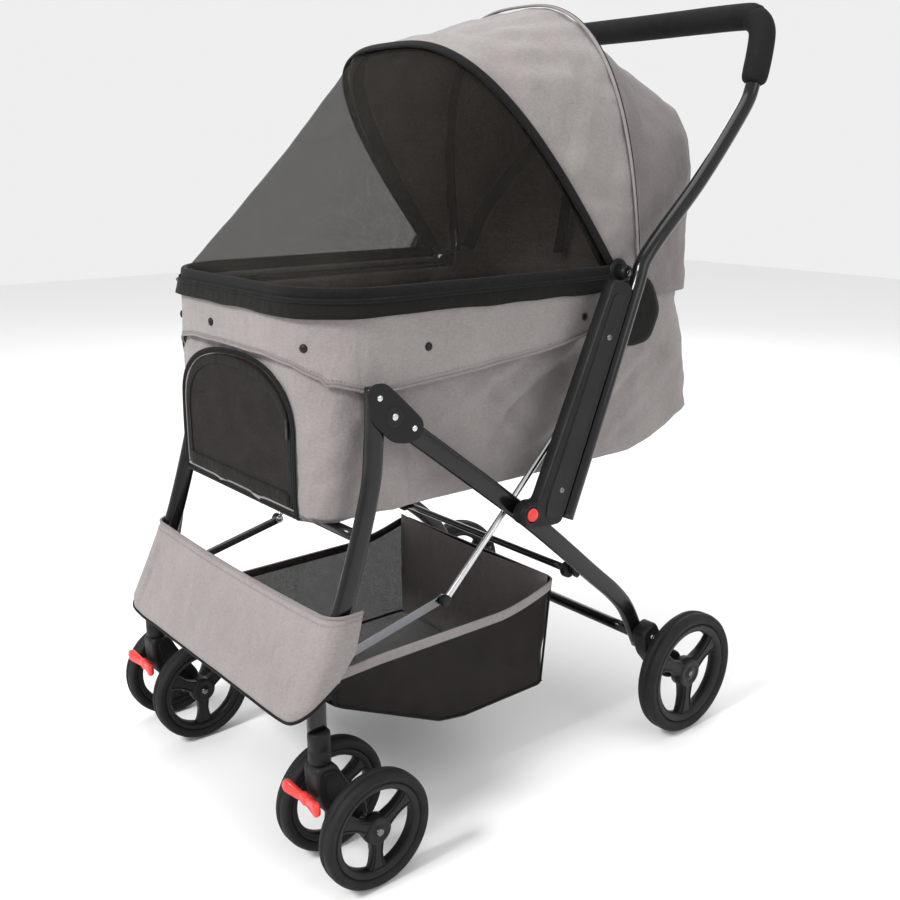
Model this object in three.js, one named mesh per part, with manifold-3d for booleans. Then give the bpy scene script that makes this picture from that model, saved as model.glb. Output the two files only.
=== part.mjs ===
// A folding four-wheel pet stroller: fabric cabin with a mesh hood, twin front casters and a lower basket.
// Millimetres. +X is the right side, -Y is the front, +Z is up. The origin is on the floor, under the
// middle of the object. Pairs of coordinates named yz lie in a vertical plane along the stroller.

import * as THREE from 'three';
import { ConvexGeometry } from 'three/addons/geometries/ConvexGeometry.js';
import { mergeVertices } from 'three/addons/utils/BufferGeometryUtils.js';
import Module from 'manifold-3d';

const wasm = await Module();
wasm.setup();

// Driving dimensions

const GAP = 0.3;
const HALF_LENGTH = 396;

const LEG_X = 208;
const LEG_WIDTH = 24;
const LEG_THICKNESS = 14;
const LEG_INNER_X = LEG_X - LEG_THICKNESS / 2;
const LEG_OUTER_X = LEG_X + LEG_THICKNESS / 2;

const TOP_HINGE = [-257, 529];
const FOLD_PIVOT = [-70, 383];
const HOOD_PIVOT = [117, 657];
const BRACE_PIVOT = [-170, 285];
const LINK_PIVOT = [-331, 249];

const HANDLE_RADIUS = 10;
const HANDLE_STEPS = 46;
const GRIP_RADIUS = 18;
const GRIP_BAR_Z = 982;

const CASTER_X = 211.5;
const CASTER_Y = -363;
const CASTER_TRAIL = 41.5;
const TWIN_OFFSET = 45.5;
const FRONT_WHEEL_RADIUS = 70.5;
const FRONT_TYRE_WIDTH = 24;

const REAR_WHEEL_X = 256;
const REAR_WHEEL_Y = 223;
const REAR_WHEEL_RADIUS = 88;
const REAR_TYRE_WIDTH = 28;

const CABIN_FLOOR_Z = 405;
const CABIN_TOP_Z = 634;
const CABIN_HALF_WIDTH = 181;
const CABIN_FRONT_Y = -334;
const CABIN_REAR_Y = 305;
const FABRIC = 3;

const RIM_Z = 640;
const RIM_HALF_WIDTH = 187;
const HOOP_RADIUS = 3;
const ARCH_ANGLE = 128;
const ARCH_REACH = 345;
const REAR_ARCH_ANGLE = 97;
const REAR_ARCH_REACH = 331;
const REAR_ARCH_FOOT = [159, 657];

const SIDES = [['R', 1], ['L', -1]];

// Finishes

const finish = (color, roughness, metalness) =>
  new THREE.MeshStandardMaterial({ color, roughness, metalness });
const glossBlack = finish(0x0c0c0d, 0.25, 0.6);
const blackPlastic = finish(0x151516, 0.5, 0);
const foam = finish(0x17171a, 0.9, 0);
const tyreRubber = finish(0x1d1d1f, 0.8, 0);
const steel = finish(0xb8babd, 0.3, 1);
const redPlastic = finish(0xd8322c, 0.4, 0);
const greyFabric = finish(0xaea6a2, 0.95, 0);
const darkFabric = finish(0x2a2725, 0.95, 0);
const darkMesh = finish(0x2b2b28, 0.9, 0);

// Solids that are cut and joined

function solid(geometry) {
  const bare = geometry.clone();
  bare.deleteAttribute('normal');
  bare.deleteAttribute('uv');
  const merged = mergeVertices(bare, 1e-4);
  const vertProperties = new Float32Array(merged.attributes.position.array);
  const triVerts = new Uint32Array(merged.index.array);
  return new wasm.Manifold(new wasm.Mesh({ numProp: 3, vertProperties, triVerts }));
}

function geometryOf(body) {
  const mesh = body.getMesh();
  const geometry = new THREE.BufferGeometry();
  geometry.setAttribute('position', new THREE.BufferAttribute(mesh.vertProperties, 3));
  geometry.setIndex(new THREE.BufferAttribute(mesh.triVerts, 1));
  geometry.computeVertexNormals();
  return geometry;
}

function cut(geometry, ...tools) {
  return geometryOf(tools.reduce((body, tool) => body.subtract(solid(tool)), solid(geometry)));
}

function join(geometry, ...others) {
  return geometryOf(others.reduce((body, other) => body.add(solid(other)), solid(geometry)));
}

// Basic shapes

const radians = THREE.MathUtils.degToRad;
const mirrored = points => points.map(p => new THREE.Vector3(-p.x, p.y, p.z));

// Turns a drawing in (y, z) into a plate that spans xLow to xHigh.
function plate(shape, xLow, xHigh, bevel = 0) {
  const geometry = new THREE.ExtrudeGeometry(shape, {
    depth: xHigh - xLow - 2 * bevel,
    bevelEnabled: bevel > 0,
    bevelThickness: bevel,
    bevelSize: bevel,
    bevelOffset: -bevel,
    bevelSegments: 1,
    curveSegments: 6,
  });
  geometry.translate(0, 0, xLow + bevel);
  const across = new THREE.Matrix4().makeBasis(
    new THREE.Vector3(0, 1, 0),
    new THREE.Vector3(0, 0, 1),
    new THREE.Vector3(1, 0, 0),
  );
  return geometry.applyMatrix4(across);
}

// The same plate on the right side, or mirrored to the left side.
function sidePlate(shape, sign, xNear, xFar, bevel = 0) {
  return sign > 0 ? plate(shape, xNear, xFar, bevel) : plate(shape, -xFar, -xNear, bevel);
}

function outline(yz) {
  return new THREE.Shape(yz.map(([y, z]) => new THREE.Vector2(y, z)));
}

function disc([y, z], radius) {
  const shape = new THREE.Shape();
  shape.absarc(y, z, radius, 0, 2 * Math.PI, false);
  return shape;
}

// A ribbon of even width along a smooth centre line.
function ribbon(yz, width, samples) {
  const points = yz.map(([y, z]) => new THREE.Vector3(y, z, 0));
  const curve = new THREE.CatmullRomCurve3(points, false, 'centripetal');
  const left = [];
  const right = [];
  for (let i = 0; i <= samples; i++) {
    const point = curve.getPointAt(i / samples);
    const tangent = curve.getTangentAt(i / samples);
    const normal = [-tangent.y * width / 2, tangent.x * width / 2];
    left.push([point.x + normal[0], point.y + normal[1]]);
    right.unshift([point.x - normal[0], point.y - normal[1]]);
  }
  return outline([...right, ...left]);
}

// A round bar along a smooth path of three-dimensional points.
function bar(points, radius, sides, steps) {
  const section = new THREE.Shape();
  for (let i = 0; i < sides; i++) {
    const angle = 2 * Math.PI * i / sides;
    const method = i === 0 ? 'moveTo' : 'lineTo';
    section[method](radius * Math.cos(angle), radius * Math.sin(angle));
  }
  const extrudePath = new THREE.CatmullRomCurve3(points, false, 'centripetal');
  return new THREE.ExtrudeGeometry(section, { steps, extrudePath, curveSegments: 1 });
}

function cylinderX(xLow, xHigh, [y, z], radius, sides = 12) {
  const geometry = new THREE.CylinderGeometry(radius, radius, xHigh - xLow, sides);
  geometry.rotateZ(Math.PI / 2);
  return geometry.translate((xLow + xHigh) / 2, y, z);
}

function sideCylinder(sign, xNear, xFar, yz, radius) {
  return sign > 0 ? cylinderX(xNear, xFar, yz, radius) : cylinderX(-xFar, -xNear, yz, radius);
}

function cylinderZ(x, y, zLow, zHigh, radius, sides = 14) {
  const geometry = new THREE.CylinderGeometry(radius, radius, zHigh - zLow, sides);
  geometry.rotateX(Math.PI / 2);
  return geometry.translate(x, y, (zLow + zHigh) / 2);
}

// A closed solid turned about an axis along X. Profile points are [radius, x].
function turnedX(profile, centre, segments) {
  const points = profile.map(([radius, along]) => new THREE.Vector2(radius, along));
  const geometry = new THREE.LatheGeometry(points, segments);
  geometry.rotateZ(-Math.PI / 2);
  return geometry.translate(...centre);
}

// Assembly

const stroller = new THREE.Group();

function add(name, geometry, material) {
  const mesh = new THREE.Mesh(geometry, material);
  mesh.name = name;
  stroller.add(mesh);
  return mesh;
}

// Rear legs: flat-oval tubes from the top hinge down to the rear wheels, with a bend above the wheel.

const REAR_LEG_LINE = [[-244, 519], [-54, 371], [72, 262], [118, 222], [147, 188], [176, 132]];

function rearLeg(sign) {
  const tube = sidePlate(ribbon(REAR_LEG_LINE, LEG_WIDTH, 18), sign, LEG_INNER_X, LEG_OUTER_X, 4);
  const lockHole = cylinderX(sign * LEG_X - LEG_THICKNESS, sign * LEG_X + LEG_THICKNESS, FOLD_PIVOT, 9.5);
  return cut(tube, lockHole);
}

// A wheel bracket carries the wheel's stub axle and takes the end of the leg.
function rearWheelBracket(sign) {
  const hub = [REAR_WHEEL_Y, REAR_WHEEL_RADIUS];
  const body = sidePlate(outline([
    [150, 160], [160, 124], [186, 92], [208, 74], [226, 70], [240, 80],
    [238, 104], [214, 120], [196, 140], [176, 172],
  ]), sign, LEG_OUTER_X + GAP, 238, 2);
  return join(body, sideCylinder(sign, 236, 268, hub, 5));
}

function brakePedal(sign) {
  return sidePlate(ribbon([[206, 108], [232, 118], [264, 126]], 17, 5), sign, 202, LEG_OUTER_X - GAP, 2);
}

// Wheels: a soft tyre on a rim with three windows.

function tyre(x, y, radius, width) {
  const bead = 0.82 * radius;
  const shoulder = 0.95 * radius;
  const half = width / 2;
  const profile = [
    [bead, -0.72 * half], [shoulder, -half], [radius, -0.45 * half],
    [radius, 0.45 * half], [shoulder, half], [bead, 0.72 * half], [bead, -0.72 * half],
  ];
  return turnedX(profile, [x, y, radius], 28);
}

function windowPath(centre, inner, outer, middle, halfAngle) {
  const path = new THREE.Path();
  path.absarc(centre[0], centre[1], outer, middle - halfAngle, middle + halfAngle, false);
  path.absarc(centre[0], centre[1], inner, middle + 0.7 * halfAngle, middle - 0.7 * halfAngle, true);
  path.closePath();
  return path;
}

function rim(x, y, wheelRadius, width, boreRadius) {
  const centre = [y, wheelRadius];
  const shape = disc(centre, 0.82 * wheelRadius - 2 * GAP);
  const bore = new THREE.Path();
  bore.absarc(centre[0], centre[1], boreRadius, 0, 2 * Math.PI, true);
  shape.holes.push(bore);
  for (let i = 0; i < 3; i++) {
    const middle = radians(90 + 120 * i);
    shape.holes.push(windowPath(centre, 0.3 * wheelRadius, 0.68 * wheelRadius, middle, radians(41)));
  }
  return plate(shape, x - width / 2, x + width / 2, 0);
}

// Front legs: a gently curved tube with an ear that turns on the top hinge.

const FRONT_LEG_LINE = [
  [-276, 563], [-279, 500], [-287, 440], [-322, 328], [-351, 264], [-362, 234], [-363, 214], [-363, 189],
];

function frontLeg(sign) {
  const tube = sidePlate(ribbon(FRONT_LEG_LINE, LEG_WIDTH - 1, 20), sign, LEG_INNER_X, LEG_OUTER_X, 4);
  const ear = sidePlate(disc(TOP_HINGE, 14), sign, LEG_INNER_X, LEG_OUTER_X, 1);
  return join(tube, ear);
}

function topHinge(sign) {
  const cover = outline([
    [-296, 552], [-286, 566], [-266, 568], [-240, 548], [-214, 516],
    [-220, 498], [-238, 494], [-262, 498], [-290, 530],
  ]);
  return sidePlate(cover, sign, LEG_OUTER_X + GAP, LEG_OUTER_X + 3.8, 1);
}

// Casters: a stem socket on the leg, a fork, an axle, twin wheels and a lever that locks the swivel.

const SOCKET_TOP_Z = 188.5;
const SOCKET_BOTTOM_Z = 150;
const CASTER_WHEEL_Y = CASTER_Y + CASTER_TRAIL;

function fork(sign) {
  const top = SOCKET_BOTTOM_Z - GAP;
  const boss = [CASTER_WHEEL_Y, FRONT_WHEEL_RADIUS];
  const cheek = outline([
    [CASTER_Y - 13, top], [CASTER_Y + 13, top], [-336, 122], [-308, 80], [-310, 62], [-324, 55],
    [-338, 60], [-370, 98], [CASTER_Y - 13, 120],
  ]);
  const body = plate(cheek, sign * CASTER_X - 15, sign * CASTER_X + 15, 2);
  return cut(body, cylinderX(sign * CASTER_X - 40, sign * CASTER_X + 40, boss, 5 + GAP));
}

function swivelLever(sign) {
  const tongue = outline([[-391, 104], [-382, 107], [-378, 111], [-378, 115], [-382, 119], [-391, 117]]);
  return plate(tongue, sign * CASTER_X - 28, sign * CASTER_X + 28, 1.5);
}

// Handle: one bent tube with a foam grip, on a flat lower housing that turns on the fold pivot.

const handleSide = [
  [230, -3, 362], [230, 59, 512], [229, 111, 640], [227, 134, 682],
  [218, 240, 769], [210, 330, 856], [207, 354, 890], [206, 367, 935],
].map(([x, y, z]) => new THREE.Vector3(x, y, z));
const handleCorner = [
  new THREE.Vector3(201, 375, 962),
  new THREE.Vector3(187, 378, 977),
  new THREE.Vector3(162, 378, GRIP_BAR_Z),
];
const acrossBar = [new THREE.Vector3(0, HALF_LENGTH - GRIP_RADIUS, GRIP_BAR_Z)];

function throughBar(rightHalf) {
  return [...rightHalf, ...acrossBar, ...mirrored(rightHalf).reverse()];
}

const handlePath = throughBar([...handleSide, ...handleCorner]);
const gripPath = throughBar([...handleSide.slice(6), ...handleCorner]);

function grip() {
  const core = bar(handlePath, HANDLE_RADIUS + 2 * GAP, 8, HANDLE_STEPS);
  return cut(bar(gripPath, GRIP_RADIUS, 8, 20), core);
}

function handleHousing(sign) {
  const shape = outline([
    [-86, 376], [-74, 367], [-50, 361], [-17, 360], [97, 637], [90, 649], [64, 655],
    [-56, 396], [-70, 399], [-84, 391],
  ]);
  const body = sidePlate(shape, sign, LEG_OUTER_X + 4.5, 238, 3);
  return cut(body, sideCylinder(sign, LEG_OUTER_X, 245, FOLD_PIVOT, 9.5));
}

function foldButton(sign) {
  return sideCylinder(sign, 205.5, 243, FOLD_PIVOT, 8.5);
}

// Braces: a straight rod fixed to each handle housing pulls a link on the front leg as the frame folds.

const ROD_X = 196.5;
const LINK_X = 190.5;
const ROD_SEAT = [68, 520];

function braceRod(sign) {
  const path = [BRACE_PIVOT, [-50, 404], ROD_SEAT].map(([y, z]) => new THREE.Vector3(sign * ROD_X, y, z));
  const pin = sideCylinder(sign, ROD_X - 3, LEG_OUTER_X + 4.2, [ROD_SEAT[0] - 2, ROD_SEAT[1] - 2], 4);
  return join(bar(path, 3.5, 8, 6), pin);
}

function braceLink(sign) {
  const tongue = sidePlate(ribbon([LINK_PIVOT, BRACE_PIVOT], 12, 2), sign, LINK_X - 2, LINK_X + 1.5);
  const start = new THREE.Vector2(...LINK_PIVOT);
  const seat = start.lerp(new THREE.Vector2(...BRACE_PIVOT), 0.05).toArray();
  return join(tongue, sideCylinder(sign, LINK_X, LEG_INNER_X - GAP, seat, 4));
}

// The rim wire: a U around the cabin's mouth, on two arms that turn on the top hinges.

function rimCurve(halfWidth, frontY, z, rearY) {
  const corner = 90;
  const right = [new THREE.Vector3(halfWidth, rearY, z), new THREE.Vector3(halfWidth, -120, z)];
  for (let step = 0; step <= 5; step++) {
    const angle = radians(18 * step);
    const x = halfWidth - corner + corner * Math.cos(angle);
    right.push(new THREE.Vector3(x, frontY + corner - corner * Math.sin(angle), z));
  }
  return [...right, ...mirrored(right).reverse()];
}

function rimFrame() {
  const wire = bar(rimCurve(RIM_HALF_WIDTH, -324, RIM_Z, HOOD_PIVOT[0] + 20), 4, 8, 38);
  const armLine = [[TOP_HINGE[0], TOP_HINGE[1] - 8], [TOP_HINGE[0], RIM_Z]];
  const arms = SIDES.flatMap(([, sign]) => [
    sidePlate(ribbon(armLine, 16, 2), sign, 183.5, 188.5),
    sideCylinder(sign, 186, LEG_INNER_X - GAP, TOP_HINGE, 4),
  ]);
  return join(wire, ...arms);
}

function hoodPivot(sign) {
  const plateDisc = sidePlate(disc(HOOD_PIVOT, 17), sign, 191.5, 197, 1);
  return join(plateDisc, sideCylinder(sign, 196, 212, HOOD_PIVOT, 10));
}

// Hood hoops turn on the hood pivots. Each is a plane arch, leaning at its own angle over its feet.

function archCurve(angle, reach, halfWidth, lowest = 0, squareness = 3.2, foot = HOOD_PIVOT) {
  const samples = 18;
  const fullness = 2 / squareness;
  const points = [];
  for (let i = 0; i <= samples; i++) {
    const t = Math.PI * i / samples;
    const rise = reach * Math.pow(Math.sin(t), fullness);
    const across = halfWidth * Math.sign(Math.cos(t)) * Math.pow(Math.abs(Math.cos(t)), fullness);
    if (rise >= lowest) {
      const y = foot[0] + rise * Math.cos(radians(angle));
      const z = foot[1] + rise * Math.sin(radians(angle));
      points.push(new THREE.Vector3(across, y, z));
    }
  }
  return points;
}

function hoop(angle, reach, halfWidth) {
  return bar(archCurve(angle, reach, halfWidth), HOOP_RADIUS, 6, 30);
}

// The rear hoop's legs run back from the pivots along the rim before they turn up.
function rearHoop() {
  const halfWidth = 174;
  const [footY, footZ] = REAR_ARCH_FOOT;
  const leg = [
    new THREE.Vector3(halfWidth, HOOD_PIVOT[0], footZ),
    new THREE.Vector3(halfWidth, footY - 14, footZ),
    new THREE.Vector3(halfWidth, footY - 2, footZ + 10),
  ];
  const arch = archCurve(REAR_ARCH_ANGLE, REAR_ARCH_REACH, halfWidth, 30, 2.75, REAR_ARCH_FOOT);
  return bar([...leg, ...arch, ...mirrored(leg).reverse()], HOOP_RADIUS, 6, 44);
}

function frontHoop() {
  return bar(rimCurve(RIM_HALF_WIDTH + 0.5, -324, HOOD_PIVOT[1], HOOD_PIVOT[0]), HOOP_RADIUS, 6, 34);
}

// Soft shells: the space between an outer and an inner convex form, open where the inner one sticks out.

function shell(outerPoints, innerPoints) {
  return cut(new ConvexGeometry(outerPoints), new ConvexGeometry(innerPoints));
}

function inset(points, distance, drop = 0) {
  return points.map(p => {
    const share = 1 - distance / 180;
    const y = HOOD_PIVOT[0] + (p.y - HOOD_PIVOT[0]) * share;
    const z = HOOD_PIVOT[1] + (p.z - HOOD_PIVOT[1]) * share - drop;
    return new THREE.Vector3(p.x * share, y, z);
  });
}

const HOOD_WIDTH = 180;
const HOOD_LOWEST = 60;

// Cloth over a row of arches, given front to rear as angle, reach, squareness and feet.
function hoodSection(arches, edges = [], innerEdges = []) {
  const last = arches.length - 1;
  const cloth = (turn, lowest) => arches.flatMap(([angle, reach, squareness, foot], i) => {
    const spread = i === 0 ? turn : i === last ? -turn : 0;
    return archCurve(angle + spread, reach, HOOD_WIDTH, lowest, squareness, foot);
  });
  const inner = inset(cloth(3.5, HOOD_LOWEST / 2), FABRIC);
  return shell([...cloth(0, HOOD_LOWEST), ...edges], [...inner, ...innerEdges]);
}

function frontHood() {
  return hoodSection([
    [ARCH_ANGLE - 5, ARCH_REACH - 2, 3.2, HOOD_PIVOT],
    [110, 330, 3.1, HOOD_PIVOT],
    [REAR_ARCH_ANGLE + 1, REAR_ARCH_REACH, 2.9, [REAR_ARCH_FOOT[0] - 7, REAR_ARCH_FOOT[1]]],
  ]);
}

function hoodMesh() {
  const edge = rimCurve(HOOD_WIDTH + 2, -317, HOOD_PIVOT[1] + 8, 40);
  const arch = archCurve(ARCH_ANGLE + 5, ARCH_REACH, HOOD_WIDTH, HOOD_LOWEST);
  const behind = archCurve(ARCH_ANGLE + 1, ARCH_REACH, HOOD_WIDTH, HOOD_LOWEST / 2);
  return shell([...edge, ...arch], [...inset(edge, FABRIC, 12), ...inset(behind, FABRIC)]);
}

function rearHood() {
  const foot = [REAR_ARCH_FOOT[0] + 9, REAR_ARCH_FOOT[1]];
  const arches = [[88, 262], [74, 260], [60, 258], [46, 240], [32, 200], [16, 168]]
    .map(([angle, reach]) => [angle, reach, 3.3, foot]);
  const corners = roundedLoop(HOOD_WIDTH, 0, CABIN_REAR_Y, 652, 60).filter(p => p.y > 200);
  const edge = y => [...corners, ...SIDES.map(([, sign]) => new THREE.Vector3(sign * HOOD_WIDTH, y, 652))];
  return hoodSection(arches, edge(foot[0] + 4), inset(edge(foot[0] - 20), FABRIC, 14));
}

// A level loop with rounded corners.
function roundedLoop(halfWidth, frontY, rearY, z, corner) {
  const points = [];
  const corners = [
    [halfWidth - corner, rearY - corner, 0], [corner - halfWidth, rearY - corner, 90],
    [corner - halfWidth, frontY + corner, 180], [halfWidth - corner, frontY + corner, 270],
  ];
  for (const [x, y, start] of corners) {
    for (let step = 0; step <= 4; step++) {
      const angle = radians(start + 22.5 * step);
      points.push(new THREE.Vector3(x + corner * Math.cos(angle), y + corner * Math.sin(angle), z));
    }
  }
  return points;
}

// Cabin: an open tub with an arched doorway in its front wall.

const DOOR_HALF_WIDTH = 128;
const DOOR_BOTTOM_Z = 416;
const DOOR_TOP_Z = 572;

function doorway(halfWidth, bottomZ, topZ, yLow, yHigh) {
  const spring = topZ - 78;
  const shape = new THREE.Shape();
  shape.moveTo(-halfWidth, bottomZ);
  shape.lineTo(halfWidth, bottomZ);
  shape.lineTo(halfWidth, spring);
  shape.bezierCurveTo(halfWidth, topZ - 22, halfWidth * 0.62, topZ, 0, topZ);
  shape.bezierCurveTo(-halfWidth * 0.62, topZ, -halfWidth, topZ - 22, -halfWidth, spring);
  shape.closePath();
  const geometry = new THREE.ExtrudeGeometry(shape, {
    depth: yHigh - yLow,
    bevelEnabled: false,
    curveSegments: 6,
  });
  geometry.rotateX(Math.PI / 2);
  return geometry.translate(0, yHigh, 0);
}

function cabinTub() {
  const floor = CABIN_FLOOR_Z;
  const mouthFrontY = CABIN_FRONT_Y + 18;
  const outer = [
    ...roundedLoop(CABIN_HALF_WIDTH, mouthFrontY, CABIN_REAR_Y, CABIN_TOP_Z, 84),
    ...roundedLoop(CABIN_HALF_WIDTH, CABIN_FRONT_Y + 3, 250, 580, 60).filter(p => p.y < -200),
    ...roundedLoop(CABIN_HALF_WIDTH - 3, CABIN_FRONT_Y, CABIN_REAR_Y + 24, floor + 45, 46),
    ...roundedLoop(CABIN_HALF_WIDTH - 8, CABIN_FRONT_Y, CABIN_REAR_Y - 85, floor, 40),
  ];
  const inner = [
    ...roundedLoop(CABIN_HALF_WIDTH - FABRIC, mouthFrontY + 4, CABIN_REAR_Y - FABRIC, CABIN_TOP_Z + 8, 84),
    ...roundedLoop(CABIN_HALF_WIDTH - FABRIC, CABIN_FRONT_Y + 6, 250, 580, 60).filter(p => p.y < -200),
    ...roundedLoop(CABIN_HALF_WIDTH - 6, CABIN_FRONT_Y + FABRIC, CABIN_REAR_Y + 20, floor + 45, 46),
    ...roundedLoop(CABIN_HALF_WIDTH - 11, CABIN_FRONT_Y + FABRIC, CABIN_REAR_Y - 88, floor + FABRIC, 40),
  ];
  const opening = doorway(DOOR_HALF_WIDTH + 1.5, DOOR_BOTTOM_Z - 1.5, DOOR_TOP_Z + 1.5, -350, -300);
  return cut(shell(outer, inner), opening);
}

function slab(halfWidth, frontY, rearY, zLow, zHigh, corner, bevel) {
  const shape = new THREE.Shape(
    roundedLoop(halfWidth, frontY, rearY, 0, corner).map(p => new THREE.Vector2(p.x, p.y)),
  );
  const geometry = new THREE.ExtrudeGeometry(shape, {
    depth: zHigh - zLow - 2 * bevel,
    bevelEnabled: bevel > 0,
    bevelThickness: bevel,
    bevelSize: bevel,
    bevelOffset: -bevel,
    bevelSegments: 1,
  });
  return geometry.translate(0, 0, zLow + bevel);
}

// Basket: a sloping-bottomed tub hung between the front legs and a rod across the rear legs.

function basket() {
  const forms = (skin, lift) => [
    ...roundedLoop(170 - skin, -322 + skin, 44 - skin, 228 + lift, 12),
    ...roundedLoop(168 - skin, 20, 42 - skin, 250 + lift, 8).filter(p => p.y > 30 - skin),
    ...roundedLoop(160 - skin, -122 + skin, 38 - skin, 92 + skin, 14),
    ...roundedLoop(162 - skin, -316 + skin, -250, 196 + skin, 12).filter(p => p.y < -300 + skin),
  ];
  return shell(forms(0, 0), forms(FABRIC, 9));
}

function basketRod() {
  const height = [54, 264];
  const knobs = SIDES.map(([, sign]) => sideCylinder(sign, 176, 187.7, height, 11));
  return join(cylinderX(-180, 180, height, 5), ...knobs);
}

function basketHanger(sign) {
  return sidePlate(ribbon([[54, 264], [72, 276]], 20, 2), sign, 188, LEG_INNER_X - GAP, 1.5);
}

// Apron: the front panel of the basket, wrapped round both front legs.

function apron() {
  const wing = (x, front, rear, z) => [
    ...[1, -1].flatMap(s => [
      new THREE.Vector3(s * x, rear, z),
      new THREE.Vector3(s * x, front + 8, z),
      new THREE.Vector3(s * (x - 6), front + 1.5, z),
      new THREE.Vector3(s * (x - 30), front, z),
    ]),
  ];
  const outer = [...wing(221, -349, -304, 316), ...wing(221, -396, -340, 214), ...wing(219, -394, -352, 200)];
  const inner = [
    ...wing(218.4, -339.6, -250, 330), ...wing(218.4, -393.2, -280, 214), ...wing(216.4, -391.2, -280, 180),
  ];
  return shell(outer, inner);
}

// Put together

for (const [side, sign] of SIDES) {
  add(`rear_leg_${side}`, rearLeg(sign), glossBlack);
  add(`rear_wheel_bracket_${side}`, rearWheelBracket(sign), blackPlastic);
  add(`brake_pedal_${side}`, brakePedal(sign), blackPlastic);
  const rearTyre = tyre(sign * REAR_WHEEL_X, REAR_WHEEL_Y, REAR_WHEEL_RADIUS, REAR_TYRE_WIDTH);
  const rearRim = rim(sign * (REAR_WHEEL_X + 1), REAR_WHEEL_Y, REAR_WHEEL_RADIUS, 20, 5 + 2 * GAP);
  add(`rear_tyre_${side}`, rearTyre, tyreRubber);
  add(`rear_rim_${side}`, rearRim, blackPlastic);
  add(`top_hinge_${side}`, topHinge(sign), blackPlastic);
  add(`basket_hanger_${side}`, basketHanger(sign), blackPlastic);
  add(`front_leg_${side}`, frontLeg(sign), glossBlack);
  const socket = cylinderZ(sign * CASTER_X, CASTER_Y, SOCKET_BOTTOM_Z, SOCKET_TOP_Z, 13);
  add(`caster_socket_${side}`, socket, blackPlastic);
  add(`caster_fork_${side}`, fork(sign), blackPlastic);
  const axleLine = [CASTER_WHEEL_Y, FRONT_WHEEL_RADIUS];
  add(`caster_axle_${side}`, cylinderX(sign * CASTER_X - 58, sign * CASTER_X + 58, axleLine, 5), steel);
  add(`swivel_lever_${side}`, swivelLever(sign), redPlastic);
  for (const [place, offset] of [['outer', sign * TWIN_OFFSET], ['inner', -sign * TWIN_OFFSET]]) {
    const x = sign * CASTER_X + offset;
    const frontTyre = tyre(x, CASTER_WHEEL_Y, FRONT_WHEEL_RADIUS, FRONT_TYRE_WIDTH);
    const frontRim = rim(x, CASTER_WHEEL_Y, FRONT_WHEEL_RADIUS, 18, 5 + 2 * GAP);
    add(`front_tyre_${place}_${side}`, frontTyre, tyreRubber);
    add(`front_rim_${place}_${side}`, frontRim, blackPlastic);
  }
  add(`handle_housing_${side}`, handleHousing(sign), blackPlastic);
  add(`fold_button_${side}`, foldButton(sign), redPlastic);
  add(`brace_rod_${side}`, braceRod(sign), steel);
  add(`brace_link_${side}`, braceLink(sign), steel);
  add(`hood_pivot_${side}`, hoodPivot(sign), blackPlastic);
}

add('rear_axle_tube', cylinderX(GAP - LEG_INNER_X, LEG_INNER_X - GAP, [166, 148], 8), glossBlack);
add('front_cross_tube', cylinderX(GAP - LEG_INNER_X, LEG_INNER_X - GAP, [-297, 396], 7), glossBlack);
add('handle_tube', bar(handlePath, HANDLE_RADIUS, 8, HANDLE_STEPS), glossBlack);
add('handle_grip', grip(), foam);
add('rim_frame', rimFrame(), steel);
add('hood_hoop_front', frontHoop(), steel);
add('hood_hoop_arch', hoop(ARCH_ANGLE, ARCH_REACH, 180.5), steel);
add('hood_hoop_rear', rearHoop(), steel);
add('hood_mesh', hoodMesh(), darkMesh);
add('hood_front_panel', frontHood(), greyFabric);
add('hood_rear_panel', rearHood(), greyFabric);
add('cabin_tub', cabinTub(), greyFabric);
add('floor_board', slab(165, -318, 208, 408.4, 411.4, 36, 0), darkFabric);
add('cushion_mat', slab(164, -316, 206, 411.8, 434, 36, 6), darkFabric);
add('door_flap', doorway(DOOR_HALF_WIDTH, DOOR_BOTTOM_Z, DOOR_TOP_Z, -334.5, -331.5), darkMesh);
add('basket', basket(), darkMesh);
add('basket_rod', basketRod(), glossBlack);
add('apron_panel', apron(), greyFabric);

export default stroller;
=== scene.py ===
import math

import bmesh
import bpy
import numpy as np
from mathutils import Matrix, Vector, noise


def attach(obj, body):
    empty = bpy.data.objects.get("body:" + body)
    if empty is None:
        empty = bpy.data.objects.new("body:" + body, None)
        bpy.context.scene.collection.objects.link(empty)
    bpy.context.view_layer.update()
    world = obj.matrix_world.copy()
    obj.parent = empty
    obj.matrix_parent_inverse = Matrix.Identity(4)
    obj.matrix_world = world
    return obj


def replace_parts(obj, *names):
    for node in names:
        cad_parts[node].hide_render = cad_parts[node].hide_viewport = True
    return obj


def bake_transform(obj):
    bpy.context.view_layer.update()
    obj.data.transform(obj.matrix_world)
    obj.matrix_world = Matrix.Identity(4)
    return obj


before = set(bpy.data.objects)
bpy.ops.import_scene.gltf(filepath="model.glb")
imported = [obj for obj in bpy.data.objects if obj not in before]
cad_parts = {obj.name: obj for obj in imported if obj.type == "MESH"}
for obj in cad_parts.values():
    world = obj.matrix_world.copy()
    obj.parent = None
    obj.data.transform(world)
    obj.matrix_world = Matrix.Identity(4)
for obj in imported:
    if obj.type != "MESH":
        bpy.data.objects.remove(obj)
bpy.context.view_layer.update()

# A folding pet stroller: +X right, -Y front, +Z up.

MM = 0.001
SIDES = (("R", 1), ("L", -1))

# Camera and light

CAMERA_AT = Vector((1.1172, -0.9196, 0.8001))
CAMERA_AZIMUTH, CAMERA_ELEVATION = math.radians(50.584), math.radians(15.428)


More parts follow.
